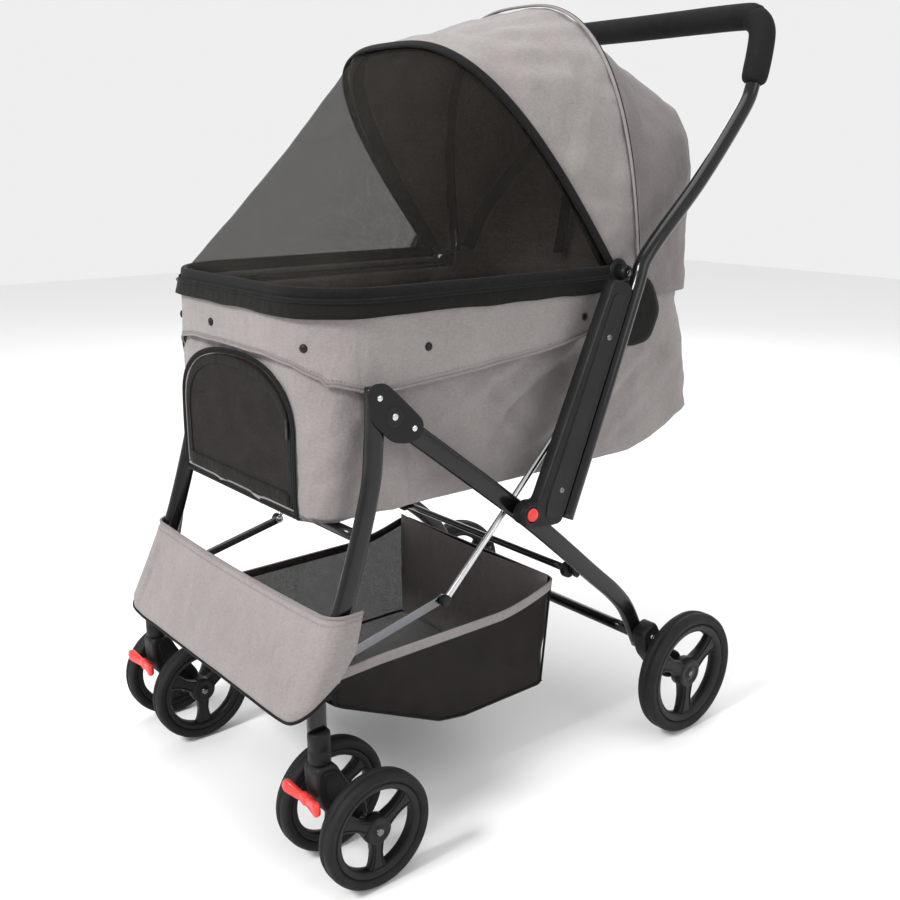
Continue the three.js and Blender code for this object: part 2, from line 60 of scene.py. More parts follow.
def camera():
    data = bpy.data.cameras.new("camera")
    data.sensor_width, data.lens = 36, 42.69
    cam = bpy.data.objects.new("camera", data)
    bpy.context.scene.collection.objects.link(cam)
    back = Vector((math.sin(CAMERA_AZIMUTH) * math.cos(CAMERA_ELEVATION),
                   -math.cos(CAMERA_AZIMUTH) * math.cos(CAMERA_ELEVATION), math.sin(CAMERA_ELEVATION)))
    cam.location = CAMERA_AT
    cam.rotation_mode = "QUATERNION"
    cam.rotation_quaternion = (-back).to_track_quat("-Z", "Y")
    bpy.context.scene.camera = cam


def area_light(name, at, target, size, power):
    data = bpy.data.lights.new(name, "AREA")
    data.shape, data.size, data.energy = "DISK", size, power
    lamp = bpy.data.objects.new(name, data)
    bpy.context.scene.collection.objects.link(lamp)
    lamp.location = at
    lamp.rotation_mode = "QUATERNION"
    lamp.rotation_quaternion = (Vector(target) - Vector(at)).to_track_quat("-Z", "Y")


camera()
area_light("key", (0.2, -2.8, 2.7), (0, 0, 0.5), 0.9, 105)
area_light("fill", (2.8, 0.6, 1.5), (0, 0, 0.5), 2.0, 18)
area_light("top", (-0.4, 0.3, 3.2), (0, 0, 0.5), 2.4, 34)
area_light("back", (-2.2, 2.2, 1.8), (0, 0, 0.5), 2.0, 20)
world = bpy.data.worlds.new("studio")
world.use_nodes = True
world.node_tree.nodes["Background"].inputs["Color"].default_value = (1, 1, 1, 1)
world.node_tree.nodes["Background"].inputs["Strength"].default_value = 0.86
bpy.context.scene.world = world
bpy.context.scene.view_settings.view_transform = "Standard"

# Materials. Every one is procedural and reads object coordinates, in metres.


class Nodes:
    def __init__(self, name, rough, metallic=0.0, **sockets):
        self.material = bpy.data.materials.new(name)
        self.material.use_nodes = True
        self.tree = self.material.node_tree
        self.shader = self.tree.nodes["Principled BSDF"]
        self.shader.inputs["Roughness"].default_value = rough
        self.shader.inputs["Metallic"].default_value = metallic
        for key, value in sockets.items():
            self.shader.inputs[key.replace("_", " ")].default_value = value
        self.place = self.tree.nodes.new("ShaderNodeTexCoord").outputs["Object"]

    def link(self, a, b):
        self.tree.links.new(a, b)

    def add(self, kind, **values):
        node = self.tree.nodes.new(kind)
        for key, value in values.items():
            if key in node.bl_rna.properties and key not in ("inputs", "outputs"):
                setattr(node, key, value)
            else:
                node.inputs[key].default_value = value
        return node

    def noise(self, scale, detail=3.0, rough=0.55, stretch=None):
        node = self.add("ShaderNodeTexNoise", Scale=scale, Detail=detail, Roughness=rough)
        source = self.place
        if stretch:
            mapping = self.add("ShaderNodeMapping")
            mapping.inputs["Scale"].default_value = stretch
            self.link(self.place, mapping.inputs["Vector"])
            source = mapping.outputs["Vector"]
        self.link(source, node.inputs["Vector"])
        return node.outputs["Fac"]

    def bands(self, direction, period):
        node = self.add("ShaderNodeTexWave", bands_direction=direction, Scale=math.pi / (10 * period))
        node.inputs["Distortion"].default_value = 0.6
        node.inputs["Detail"].default_value = 1.0
        node.inputs["Detail Scale"].default_value = 1.5
        self.link(self.place, node.inputs["Vector"])
        return node.outputs["Fac"]

    def math(self, operation, a, b):
        node = self.add("ShaderNodeMath", operation=operation)
        for socket, value in zip(node.inputs, (a, b)):
            if isinstance(value, (int, float)):
                socket.default_value = value
            else:
                self.link(value, socket)
        return node.outputs[0]

    def ramp(self, factor, stops):
        node = self.add("ShaderNodeValToRGB")
        elements = node.color_ramp.elements
        while len(elements) < len(stops):
            elements.new(0.5)
        for element, (position, color) in zip(elements, stops):
            element.position = position
            element.color = (*color, 1) if len(color) == 3 else color
        self.link(factor, node.inputs["Fac"])
        return node.outputs["Color"]

    def mix(self, factor, a, b):
        node = self.add("ShaderNodeMix", data_type="RGBA")
        if isinstance(factor, (int, float)):
            node.inputs["Factor"].default_value = factor
        else:
            self.link(factor, node.inputs["Factor"])
        for socket, value in ((node.inputs[6], a), (node.inputs[7], b)):
            if isinstance(value, tuple):
                socket.default_value = (*value, 1)
            else:
                self.link(value, socket)
        return node.outputs[2]

    def bump(self, height, strength, distance, below=None):
        node = self.add("ShaderNodeBump", Strength=strength, Distance=distance)
        self.link(height, node.inputs["Height"])
        if below:
            self.link(below, node.inputs["Normal"])
        return node.outputs["Normal"]

    def done(self, color=None, rough=None, normal=None, alpha=None):
        for key, value in (("Base Color", color), ("Roughness", rough), ("Normal", normal), ("Alpha", alpha)):
            if value is not None:
                self.link(value, self.shader.inputs[key])
        return self.material


def scaled(color, k):
    return tuple(min(1.0, c * k) for c in color)


def woven(name, color, period=1.1, contrast=0.34, rough=0.92, sheen=0.2):
    n = Nodes(name, rough, Sheen_Weight=sheen, Sheen_Roughness=0.5, Specular_IOR_Level=0.12)
    warp = n.math("ADD", n.bands("X", period * MM), n.bands("Y", period * MM))
    threads = n.math("MAXIMUM", n.math("MULTIPLY", warp, 0.5), n.bands("Z", period * MM))
    fibre = n.noise(1100, 4, 0.7)
    slub = n.noise(230, 3, 0.7, (1, 1, 2.6))
    cloud = n.noise(11, 4, 0.6)
    mottled = n.math("ADD", n.math("MULTIPLY", slub, 0.6), n.math("MULTIPLY", fibre, 0.4))
    base = n.ramp(mottled, [(0.3, scaled(color, 1 - contrast)), (0.7, scaled(color, 1 + contrast))])
    shade = n.ramp(cloud, [(0.3, scaled(color, 0.84)), (0.7, scaled(color, 1.14))])
    tone = n.mix(0.45, base, shade)
    folds = n.bump(n.noise(17, 4, 0.5, (1, 1, 0.6)), 0.75, 0.011)
    coarse = n.bump(n.noise(48, 4, 0.6), 0.6, 0.0026, folds)
    normal = n.bump(n.math("ADD", threads, n.math("MULTIPLY", fibre, 0.6)), 0.45, 0.0004, coarse)
    return n.done(color=tone, normal=normal)


def screen(name, color, low=0.40, high=0.78):
    n = Nodes(name, 0.75, Specular_IOR_Level=0.12)
    cells = n.add("ShaderNodeTexVoronoi", feature="DISTANCE_TO_EDGE", Scale=560)
    n.link(n.place, cells.inputs["Vector"])
    holes = n.ramp(cells.outputs["Distance"], [(0.05, (high,) * 3), (0.24, (low,) * 3)])
    tone = n.ramp(n.noise(30, 3), [(0.3, scaled(color, 0.8)), (0.7, scaled(color, 1.25))])
    normal = n.bump(cells.outputs["Distance"], 0.3, 0.0004)
    return n.done(color=tone, alpha=holes, normal=normal)


def moulded(name, color, rough=0.48, grain=900, spread=0.1, depth=0.00012, coat=0.0, metallic=0.0):
    n = Nodes(name, rough, metallic, Coat_Weight=coat, Coat_Roughness=0.12, Specular_IOR_Level=0.2)
    wear = n.noise(24, 4, 0.65)
    tone = n.ramp(wear, [(0.35, scaled(color, 0.85)), (0.72, scaled(color, 1.35))])
    sheen = n.ramp(n.noise(60, 4, 0.7), [(0.3, (max(0.05, rough - spread),) * 3), (0.7, (rough + spread,) * 3)])
    normal = n.bump(n.noise(grain, 3, 0.6), 0.35, depth, n.bump(n.noise(40, 2), 0.12, 0.0006))
    return n.done(color=tone, rough=sheen, normal=normal)


def brushed(name, color, rough=0.26):
    n = Nodes(name, rough, 1.0)
    streaks = n.noise(420, 3, 0.6, (1, 0.05, 0.05))
    tone = n.ramp(n.noise(35, 3), [(0.3, scaled(color, 0.9)), (0.7, scaled(color, 1.08))])
    sheen = n.ramp(streaks, [(0.3, (rough - 0.08,) * 3), (0.7, (rough + 0.1,) * 3)])
    return n.done(color=tone, rough=sheen, normal=n.bump(streaks, 0.12, 0.0001))


def braided(name, color):
    n = Nodes(name, 0.85, Sheen_Weight=0.05, Specular_IOR_Level=0.12)
    cross = n.math("MULTIPLY", n.math("ADD", n.bands("X", 1.6 * MM), n.bands("Y", 1.6 * MM)), n.bands("Z", 1.6 * MM))
    tone = n.ramp(n.noise(300, 3), [(0.3, scaled(color, 0.7)), (0.7, scaled(color, 1.4))])
    return n.done(color=tone, normal=n.bump(cross, 0.5, 0.0005))


GREY = woven("grey_weave", (0.235, 0.214, 0.209))
GREY_DARK = woven("shaded_grey_weave", (0.165, 0.147, 0.145))
LINING = woven("dark_lining", (0.27, 0.215, 0.20), contrast=0.3, sheen=0.1)
BLACK_CLOTH = woven("black_cloth", (0.008, 0.0075, 0.007), contrast=0.3, sheen=0.05)
MESH = screen("open_mesh", (0.016, 0.0145, 0.0115), 0.27, 0.52)
DENSE_MESH = screen("dense_mesh", (0.018, 0.0155, 0.0135), 0.60, 0.86)
DOOR_MESH = screen("door_mesh", (0.016, 0.014, 0.013), 0.80, 0.97)
BINDING = braided("black_binding", (0.007, 0.0065, 0.0065))
GREY_BINDING = woven("grey_binding", (0.19, 0.17, 0.165), period=1.6, contrast=0.1)
PAINT = moulded("gloss_black_paint", (0.004, 0.004, 0.0045), 0.22, 240, 0.06, 0.00005, coat=0.3)
PLASTIC = moulded("black_plastic", (0.0065, 0.0065, 0.007), 0.5)
SATIN = moulded("satin_black_plastic", (0.008, 0.008, 0.0085), 0.42, 700, 0.07)
FOAM = moulded("grip_foam", (0.006, 0.006, 0.0065), 0.82, 1600, 0.06, 0.0006)
RUBBER = moulded("tyre_rubber", (0.009, 0.009, 0.0095), 0.66, 700, 0.08, 0.0002)
STEEL = brushed("bright_steel", (0.56, 0.56, 0.57))
DARK_STEEL = brushed("black_chrome", (0.16, 0.16, 0.17), 0.2)
RED = moulded("red_plastic", (0.62, 0.035, 0.03), 0.33, 800, 0.05, coat=0.3)

# Mesh helpers


def unit(v):
    v = np.asarray(v, float)
    return v / np.maximum(np.linalg.norm(v, axis=-1, keepdims=True), 1e-9)


def evenly(points, count):
    """count points at even spacing along a polyline."""
    points = np.asarray(points, float)
    lengths = np.r_[0, np.cumsum(np.linalg.norm(np.diff(points, axis=0), axis=1))]
    wanted = np.linspace(0, lengths[-1], count)
    return np.stack([np.interp(wanted, lengths, points[:, k]) for k in range(points.shape[1])], 1)


def smooth(points, count):
    """A Catmull-Rom curve through the points, resampled evenly."""
    p = np.asarray(points, float)
    p = np.vstack([2 * p[0] - p[1], p, 2 * p[-1] - p[-2]])
    out = []
    for i in range(1, len(p) - 2):
        a, b, c, d = p[i - 1:i + 3]
        for t in np.linspace(0, 1, 16, endpoint=False):
            out.append(0.5 * (2 * b + (c - a) * t + (2 * a - 5 * b + 4 * c - d) * t * t
                              + (3 * b - a - 3 * c + d) * t ** 3))
    out.append(p[-2])
    return evenly(out, count)


def mesh(name, vertices, faces, material, body=None, second=None, second_faces=()):
    data = bpy.data.meshes.new(name)
    data.from_pydata((np.asarray(vertices, float) * MM).tolist(), [], [tuple(f) for f in faces])
    data.materials.append(material)
    if second:
        data.materials.append(second)
        for index in second_faces:
            data.polygons[index].material_index = 1
    data.validate()
    data.polygons.foreach_set("use_smooth", [True] * len(data.polygons))
    obj = bpy.data.objects.new(name, data)
    bpy.context.scene.collection.objects.link(obj)
    edit = bmesh.new()
    edit.from_mesh(data)
    bmesh.ops.remove_doubles(edit, verts=edit.verts, dist=2e-6)
    bmesh.ops.recalc_face_normals(edit, faces=edit.faces)
    edit.to_mesh(data)
    edit.free()
    if body:
        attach(obj, body)
    return obj


def quads(rows, columns, wrap_rows=False, wrap_columns=False, start=0):
    faces = []
    for i in range(rows if wrap_rows else rows - 1):
        for j in range(columns if wrap_columns else columns - 1):
            a, b = start + i * columns, start + ((i + 1) % rows) * columns
            k = (j + 1) % columns
            faces.append((a + j, a + k, b + k, b + j))
    return faces


def sheet(name, grid, material, thickness=1.6, inner=None, inside=(0, 0, 500)):
    """Cloth from a grid of points, with a real thickness and a lining colour on the face towards a point."""
    grid = np.asarray(grid, float)
    rows, columns = grid.shape[:2]
    inner_grid = grid - outward_normals(grid, inside) * thickness
    vertices = np.vstack([grid.reshape(-1, 3), inner_grid.reshape(-1, 3)])
    size = rows * columns
    outer_faces = quads(rows, columns)
    inner_faces = [tuple(reversed(f)) for f in quads(rows, columns, start=size)]
    rim = []
    for row in (0, rows - 1):
        for j in range(columns - 1):
            a, b = row * columns + j, row * columns + j + 1
            rim.append((a, b, b + size, a + size))
    for column in (0, columns - 1):
        for i in range(rows - 1):
            a, b = i * columns + column, (i + 1) * columns + column
            rim.append((a, b, b + size, a + size))
    lined = range(len(outer_faces), len(outer_faces) + len(inner_faces)) if inner else ()
    return mesh(name, vertices, outer_faces + inner_faces + rim, material, second=inner, second_faces=lined)


def outward_normals(grid, inside=(0, 0, 500)):
    normal = unit(np.cross(np.gradient(grid, axis=1), np.gradient(grid, axis=0)))
    return -normal if (normal * (grid - np.asarray(inside, float))).sum() < 0 else normal


def wrinkled(grid, amount, scale, seed=0.0, mask=1.0):
    """Pushes a grid of points along its normals by smooth noise, more inwards than outwards."""
    grid = np.asarray(grid, float)
    push = np.zeros(grid.shape[:2])
    for i in range(grid.shape[0]):
        for j in range(grid.shape[1]):
            p = grid[i, j] / scale
            low = noise.noise(Vector((p[0] + seed, p[1], p[2])))
            high = noise.noise(Vector((2.3 * p[0], 2.3 * p[1] + seed, 2.3 * p[2])))
            push[i, j] = low + 0.5 * high - 0.4
    return grid + outward_normals(grid) * (push * amount * mask)[..., None]


def frames_along(path, up=None):
    """Tangent, side and up vectors along a path."""
    path = np.asarray(path, float)
    tangent = unit(np.gradient(path, axis=0))
    if up is not None:
        up = np.broadcast_to(np.asarray(up, float), path.shape)
        side = unit(np.cross(tangent, up))
        return tangent, side, unit(np.cross(side, tangent))
    side = np.zeros_like(path)
    first = np.cross(tangent[0], (0, 0, 1.0))
    if np.linalg.norm(first) < 0.05:
        first = np.cross(tangent[0], (1.0, 0, 0))
    side[0] = unit(first)
    for i in range(1, len(path)):
        side[i] = unit(side[i - 1] - tangent[i] * (side[i - 1] @ tangent[i]))
    return tangent, side, np.cross(side, tangent)


def swept(name, path, section, material, body=None, up=None, taper=None, closed_path=False):
    """A closed section of (side, up) points carried along a path, with end caps."""
    path, section = np.asarray(path, float), np.asarray(section, float)
    _, side, upward = frames_along(path, up)
    size = np.ones(len(path)) if taper is None else np.asarray(taper, float)
    rings = path[:, None] + size[:, None, None] * (section[None, :, :1] * side[:, None]
                                                   + section[None, :, 1:] * upward[:, None])
    count, sides = len(path), len(section)
    faces = quads(count, sides, wrap_rows=closed_path, wrap_columns=True)
    if not closed_path:
        faces += [tuple(range(sides))[::-1], tuple((count - 1) * sides + k for k in range(sides))]
    return mesh(name, rings.reshape(-1, 3), faces, material, body)


def circle(radius, sides=16):
    angle = np.arange(sides) * 2 * math.pi / sides
    return np.stack([radius * np.cos(angle), radius * np.sin(angle)], 1)


def oval(width, height, sides=28, power=3.2):
    """A rounded rectangle as a superellipse."""
    angle = np.arange(sides) * 2 * math.pi / sides
    c, s = np.cos(angle), np.sin(angle)
    return np.stack([width / 2 * np.sign(c) * np.abs(c) ** (2 / power),
                     height / 2 * np.sign(s) * np.abs(s) ** (2 / power)], 1)


def tube(name, path, radius, material, body=None, sides=16):
    return swept(name, path, circle(radius, sides), material, body)


def turned(name, profile, centre, material, body=None, segments=64, axis="x", sign=1):
    """A lathe about X or Z. Profile points are (radius, along)."""
    profile = np.asarray(profile, float)
    angle = np.arange(segments) * 2 * math.pi / segments
    c, s = np.cos(angle)[:, None], np.sin(angle)[:, None]
    radius, along = profile[None, :, 0], profile[None, :, 1] * sign + np.zeros((segments, 1))
    if axis == "x":
        points = np.stack([along, radius * c, radius * s], 2)
    else:
        points = np.stack([radius * c, radius * s, along], 2)
    points = points + np.asarray(centre, float)
    return mesh(name, points.reshape(-1, 3), quads(segments, len(profile), wrap_rows=True), material, body)


def rounded_outline(points, radius, steps=4):
    """A closed outline in a plane with its corners rounded."""
    points = np.asarray(points, float)
    out = []
    for i, p in enumerate(points):
        before, after = points[i - 1] - p, points[(i + 1) % len(points)] - p
        cut = min(radius, 0.45 * np.linalg.norm(before), 0.45 * np.linalg.norm(after))
        a, b = p + unit(before) * cut, p + unit(after) * cut
        for t in np.linspace(0, 1, steps + 1):
            out.append((1 - t) ** 2 * a + 2 * t * (1 - t) * p + t * t * b)
    return np.array(out)


def plate(name, outline, x_low, x_high, material, body=None, bevel=1.5, radius=6):
    """A moulded plate whose outline lies in (y, z), with rounded corners and edges."""
    outline = rounded_outline(outline, radius)
    build = bmesh.new()
    ring = [build.verts.new((x_low * MM, y * MM, z * MM)) for y, z in outline]
    face = build.faces.new(ring)
    far = bmesh.ops.extrude_face_region(build, geom=[face])
    moved = [v for v in far["geom"] if isinstance(v, bmesh.types.BMVert)]
    bmesh.ops.translate(build, verts=moved, vec=((x_high - x_low) * MM, 0, 0))
    bmesh.ops.recalc_face_normals(build, faces=build.faces)
    caps = [f for f in build.faces if abs(f.normal.x) > 0.9]
    edges = list({e for f in caps for e in f.edges})
    bmesh.ops.bevel(build, geom=edges, offset=bevel * MM, segments=3, profile=0.5, affect="EDGES")
    data = bpy.data.meshes.new(name)
    build.to_mesh(data)
    build.free()
    data.materials.append(material)
    obj = bpy.data.objects.new(name, data)
    bpy.context.scene.collection.objects.link(obj)
    flat = [abs(p.normal.x) < 0.999 for p in data.polygons]
    data.polygons.foreach_set("use_smooth", flat)
    if body:
        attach(obj, body)
    return obj


def merged(name, objects, body=None):
    """Joins objects into one piece, keeping their materials."""
    with bpy.context.temp_override(active_object=objects[0], object=objects[0],
                                   selected_objects=objects, selected_editable_objects=objects):
        bpy.ops.object.join()
    objects[0].name = name
    if body:
        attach(objects[0], body)
    return objects[0]


def side_x(sign, near, far):
    return (near, far) if sign > 0 else (-far, -near)


def rivet(name, x, y, z, sign, radius=4.2, height=2.2, material=STEEL, body=None):
    profile = [(0, height), (radius * 0.45, height * 0.94), (radius * 0.8, height * 0.68), (radius, height * 0.2),
               (radius, -0.8), (0, -0.8)]
    return turned(name, profile, (x, y, z), material, body, 24, "x", sign)


def stitches(name, path, material, spacing=4.2, length=2.6, radius=0.42, up=(0, 0, 1)):
    """A row of raised threads along a path."""
    path = np.asarray(path, float)
    total = np.linalg.norm(np.diff(path, axis=0), axis=1).sum()
    centres = evenly(path, max(2, int(total / spacing)))
    tangent = unit(np.gradient(centres, axis=0))
    vertices, faces = [], []
    for centre, direction in zip(centres, tangent):
        side = unit(np.cross(direction, up))
        lift = np.cross(side, direction)
        start = len(vertices)
        for along, size in ((-0.5, 0.35), (-0.25, 1), (0.25, 1), (0.5, 0.35)):
            for k in range(5):
                angle = 2 * math.pi * k / 5
                vertices.append(centre + direction * along * length
                                + (side * math.cos(angle) + lift * math.sin(angle)) * radius * size)
        faces += quads(4, 5, wrap_columns=True, start=start)
        faces += [tuple(start + k for k in range(5))[::-1], tuple(start + 15 + k for k in range(5))]
    return mesh(name, vertices, faces, material)


# Frame: flat-oval legs, tubes and the handle

LEG_X = 208
REAR_LEG = [[-250, 523.7], [-54, 371], [72, 262], [118, 222], [147, 188], [176, 132]]
FRONT_LEG = [[-276, 563], [-279, 500], [-287, 440], [-322, 328], [-351, 264], [-362, 234], [-363, 214], [-363, 189]]
TOP_HINGE, FOLD_PIVOT, HOOD_PIVOT = (-257, 529), (-70, 383), (117, 657)
REAR_FOOT = (159, 657)
LINK_PIVOT, BRACE_PIVOT = (-331, 249), (-170, 285)


def on_side(yz, x):
    return np.array([[x, y, z] for y, z in yz], float)


def flat_leg(name, line, x, width, body):
    return swept(name, smooth(on_side(line, x), 60), oval(width - 0.4, 13.6), PAINT, body, up=(1, 0, 0))


for side, sign in SIDES:
    leg = flat_leg(f"rear_leg_tube_{side}", REAR_LEG, sign * LEG_X, 24, "rear_frame")
    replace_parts(leg, f"rear_leg_{side}")
    leg = flat_leg(f"front_leg_tube_{side}", FRONT_LEG, sign * LEG_X, 23, "front_frame")
    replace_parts(leg, f"front_leg_{side}")

for name, node, body, at, radius in (("rear_axle_bar", "rear_axle_tube", "rear_frame", (166, 148), 8),
                                     ("front_cross_bar", "front_cross_tube", "front_frame", (-297, 396), 7)):
    path = evenly([[-200.6, *at], [200.6, *at]], 12)
    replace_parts(tube(name, path, radius, PAINT, body, 24), node)

HANDLE_SIDE = [[230, -3, 362], [230, 59, 512], [229, 111, 640], [227, 134, 682], [218, 240, 769], [210, 330, 856],
               [207, 354, 890], [206, 367, 935]]
HANDLE_CORNER = [[201, 375, 962], [187, 378, 977], [162, 378, 982]]


def mirror(points):
    """The points of the other side, in reverse order, so that a path can run on through them."""
    return [[-x, y, z] for x, y, z in points][::-1]


HANDLE = HANDLE_SIDE + HANDLE_CORNER + [[0, 378, 982]] + mirror(HANDLE_SIDE + HANDLE_CORNER)
handle_path = smooth(HANDLE, 260)
bar = tube("handle_bar", handle_path, 10, PAINT, "handle", 24)
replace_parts(bar, "handle_tube")

GRIP = [[207, 355.5, 893]] + HANDLE_SIDE[7:] + HANDLE_CORNER + [[0, 378, 982]]
grip_half = GRIP + mirror(GRIP[:-1])
grip_path = smooth(grip_half, 220)
near = np.minimum(np.arange(220), np.arange(220)[::-1])
grip_taper = np.interp(near, [0, 1, 2, 4, 7], [0.66, 0.84, 0.93, 0.985, 1.0])
ripple = np.array([1 + 0.006 * noise.noise(Vector(p / 24)) for p in grip_path])
grip = swept("grip_sleeve", grip_path, circle(17.6, 32), FOAM, "handle", taper=grip_taper * ripple)
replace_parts(grip, "handle_grip")

# Top hinge, fold housing, brace rods and links

for side, sign in SIDES:
    outline = [[-292, 560], [-284, 568], [-268, 568], [-244, 546], [-216, 518], [-220, 500], [-238, 496],
               [-260, 500], [-288, 528]]
    cover = plate("cover", outline, *side_x(sign, 215.3, 217.8), PLASTIC, bevel=0.9, radius=12)
    boss = turned("boss", [(0, 1.2), (9, 1.2), (11, 0.9), (12, 0), (12, -1), (0, -1)],
                  (sign * 217.7, *TOP_HINGE), SATIN, segments=40, sign=sign)
    pins = [rivet("pin", sign * 217.8, y, z, sign, 3.6, 1.3) for y, z in ((-276, 552), (-230, 512))]
    centre_pin = rivet("pin", sign * 218.4, *TOP_HINGE, sign, 4.6, 0.8)
    hinge = merged(f"top_hinge_cover_{side}", [cover, boss, centre_pin, *pins], "rear_frame")
    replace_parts(hinge, f"top_hinge_{side}")

    outline = [[-86, 376], [-74, 367], [-50, 361], [-17, 360], [97, 637], [90, 649], [64, 655],
               [-56, 396], [-70, 399], [-84, 391]]
    shell = plate("shell", outline, *side_x(sign, 219.5, 238), PLASTIC, bevel=3.2, radius=8)
    rib = plate("rib", [[-46, 372], [-24, 370], [82, 632], [66, 640], [-44, 392]],
                *side_x(sign, 237.4, 239.2), SATIN, bevel=0.8, radius=7)
    screws = [rivet("screw", sign * 239.2, y, z, sign, 4.0, 1.2, DARK_STEEL) for y, z in ((55, 585), (-20, 404))]
    collar = turned("collar", [(9.6, 238.5), (9.6, 240.4), (12.4, 240.2), (13.6, 238.6), (13.6, 236), (9.6, 236)],
                    (0, *FOLD_PIVOT), SATIN, segments=40, sign=sign)
    housing = merged(f"fold_housing_{side}", [shell, rib, collar, *screws], "handle")
    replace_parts(housing, f"handle_housing_{side}")

    profile = [(0, 243.0), (5.2, 242.9), (7.6, 242.2), (8.4, 240.6), (8.4, 220.6), (0, 220.6)]
    button = turned(f"red_fold_button_{side}", profile, (0, *FOLD_PIVOT), RED, f"button_{side}", 40, sign=sign)
    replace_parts(button, f"fold_button_{side}")

    rod_path = smooth(on_side([BRACE_PIVOT, (-50, 404), (68, 520)], sign * 196.5), 40)
    rod = tube("rod", rod_path, 3.9, STEEL, sides=16)
    eye = turned("eye", [(0, 4.2), (6.4, 4.0), (7.2, 3), (7.2, -3), (6.4, -4), (0, -4.2)],
                 (sign * 196.5, *BRACE_PIVOT), SATIN, segments=32, sign=sign)
    seat = turned("seat", [(0, 219.2), (4, 219.2), (4, 194), (6.4, 193.4), (6.4, 191.6), (0, 191.2)],
                  (0, 66, 518), DARK_STEEL, segments=28, sign=sign)
    brace = merged(f"brace_rod_round_{side}", [rod, eye, seat], "handle")
    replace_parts(brace, f"brace_rod_{side}")

    line = evenly(on_side([LINK_PIVOT, BRACE_PIVOT], sign * 190.3), 20)
    strap = swept("strap", line, oval(12, 3.2, 24), DARK_STEEL, up=(1, 0, 0))
    pin = turned("pin", [(0, 200.7), (3.8, 200.7), (3.8, 190), (5.8, 188.4), (5.4, 187.2), (0, 186.8)],
                 (0, -323, 251), STEEL, segments=24, sign=sign)
    knuckle = turned("knuckle", [(0, 193.2), (5.6, 193), (5.6, 188), (0, 187.4)], (0, *BRACE_PIVOT), STEEL,
                     segments=24, sign=sign)
    link = merged(f"brace_link_flat_{side}", [strap, pin, knuckle], "brace_links")
    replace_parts(link, f"brace_link_{side}")

# Rear wheel brackets, brake pedals and wheels

REAR_HUB = (223, 88)
for side, sign in SIDES:
    outline = [[150, 160], [160, 124], [186, 92], [208, 74], [226, 70], [240, 80], [238, 104], [214, 120],
               [196, 140], [176, 172]]
    body = plate("body", outline, *side_x(sign, 215.3, 238), PLASTIC, bevel=3.5, radius=9)
    axle = turned("axle", [(0, 268), (3.8, 267.6), (5, 266.4), (5, 234), (0, 234)], (0, *REAR_HUB), DARK_STEEL,
                  segments=24, sign=sign)
    bolts = [rivet("bolt", sign * 238, y, z, sign, 3.4, 1.6) for y, z in ((170, 150), (184, 116))]
    bracket = merged(f"wheel_bracket_moulded_{side}", [body, axle, *bolts], "rear_frame")
    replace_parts(bracket, f"rear_wheel_bracket_{side}")
    path = smooth(on_side([(204, 106), (232, 118), (265, 126)], sign * 208.4), 24)
    pedal = swept("pedal", path, oval(16, 12, 24), PLASTIC, up=(1, 0, 0),
                  taper=np.interp(np.arange(24), [0, 2, 6, 20, 23], [0.72, 0.9, 1, 1, 0.8]))
    ribs = [swept("rib", evenly([[sign * 203.2, y, z], [sign * 213.6, y, z]], 6), circle(0.9, 8), SATIN)
            for y, z in ((244, 130.6), (250, 132.2), (256, 133.4))]
    pedal = merged(f"brake_pedal_moulded_{side}", [pedal, *ribs], f"brake_{side}")
    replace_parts(pedal, f"brake_pedal_{side}")


def tyre(name, node, body, x, centre, radius, width):
    bead, half = 0.82 * radius, width / 2
    profile = [(bead, -0.70 * half), (0.87 * radius, -0.92 * half), (0.92 * radius, -0.99 * half),
               (0.955 * radius, -0.96 * half), (0.985 * radius, -0.74 * half), (0.998 * radius, -0.42 * half)]
    groove = [(radius, -0.2 * half), (radius - 1.1, -0.14 * half), (radius - 1.1, 0.14 * half), (radius, 0.2 * half)]
    profile = profile + groove + [(r, -a) for r, a in reversed(profile)] + [(bead, 0.0)]
    piece = turned(name, profile + profile[:1], (x, *centre), RUBBER, body, 96)
    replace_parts(piece, node)


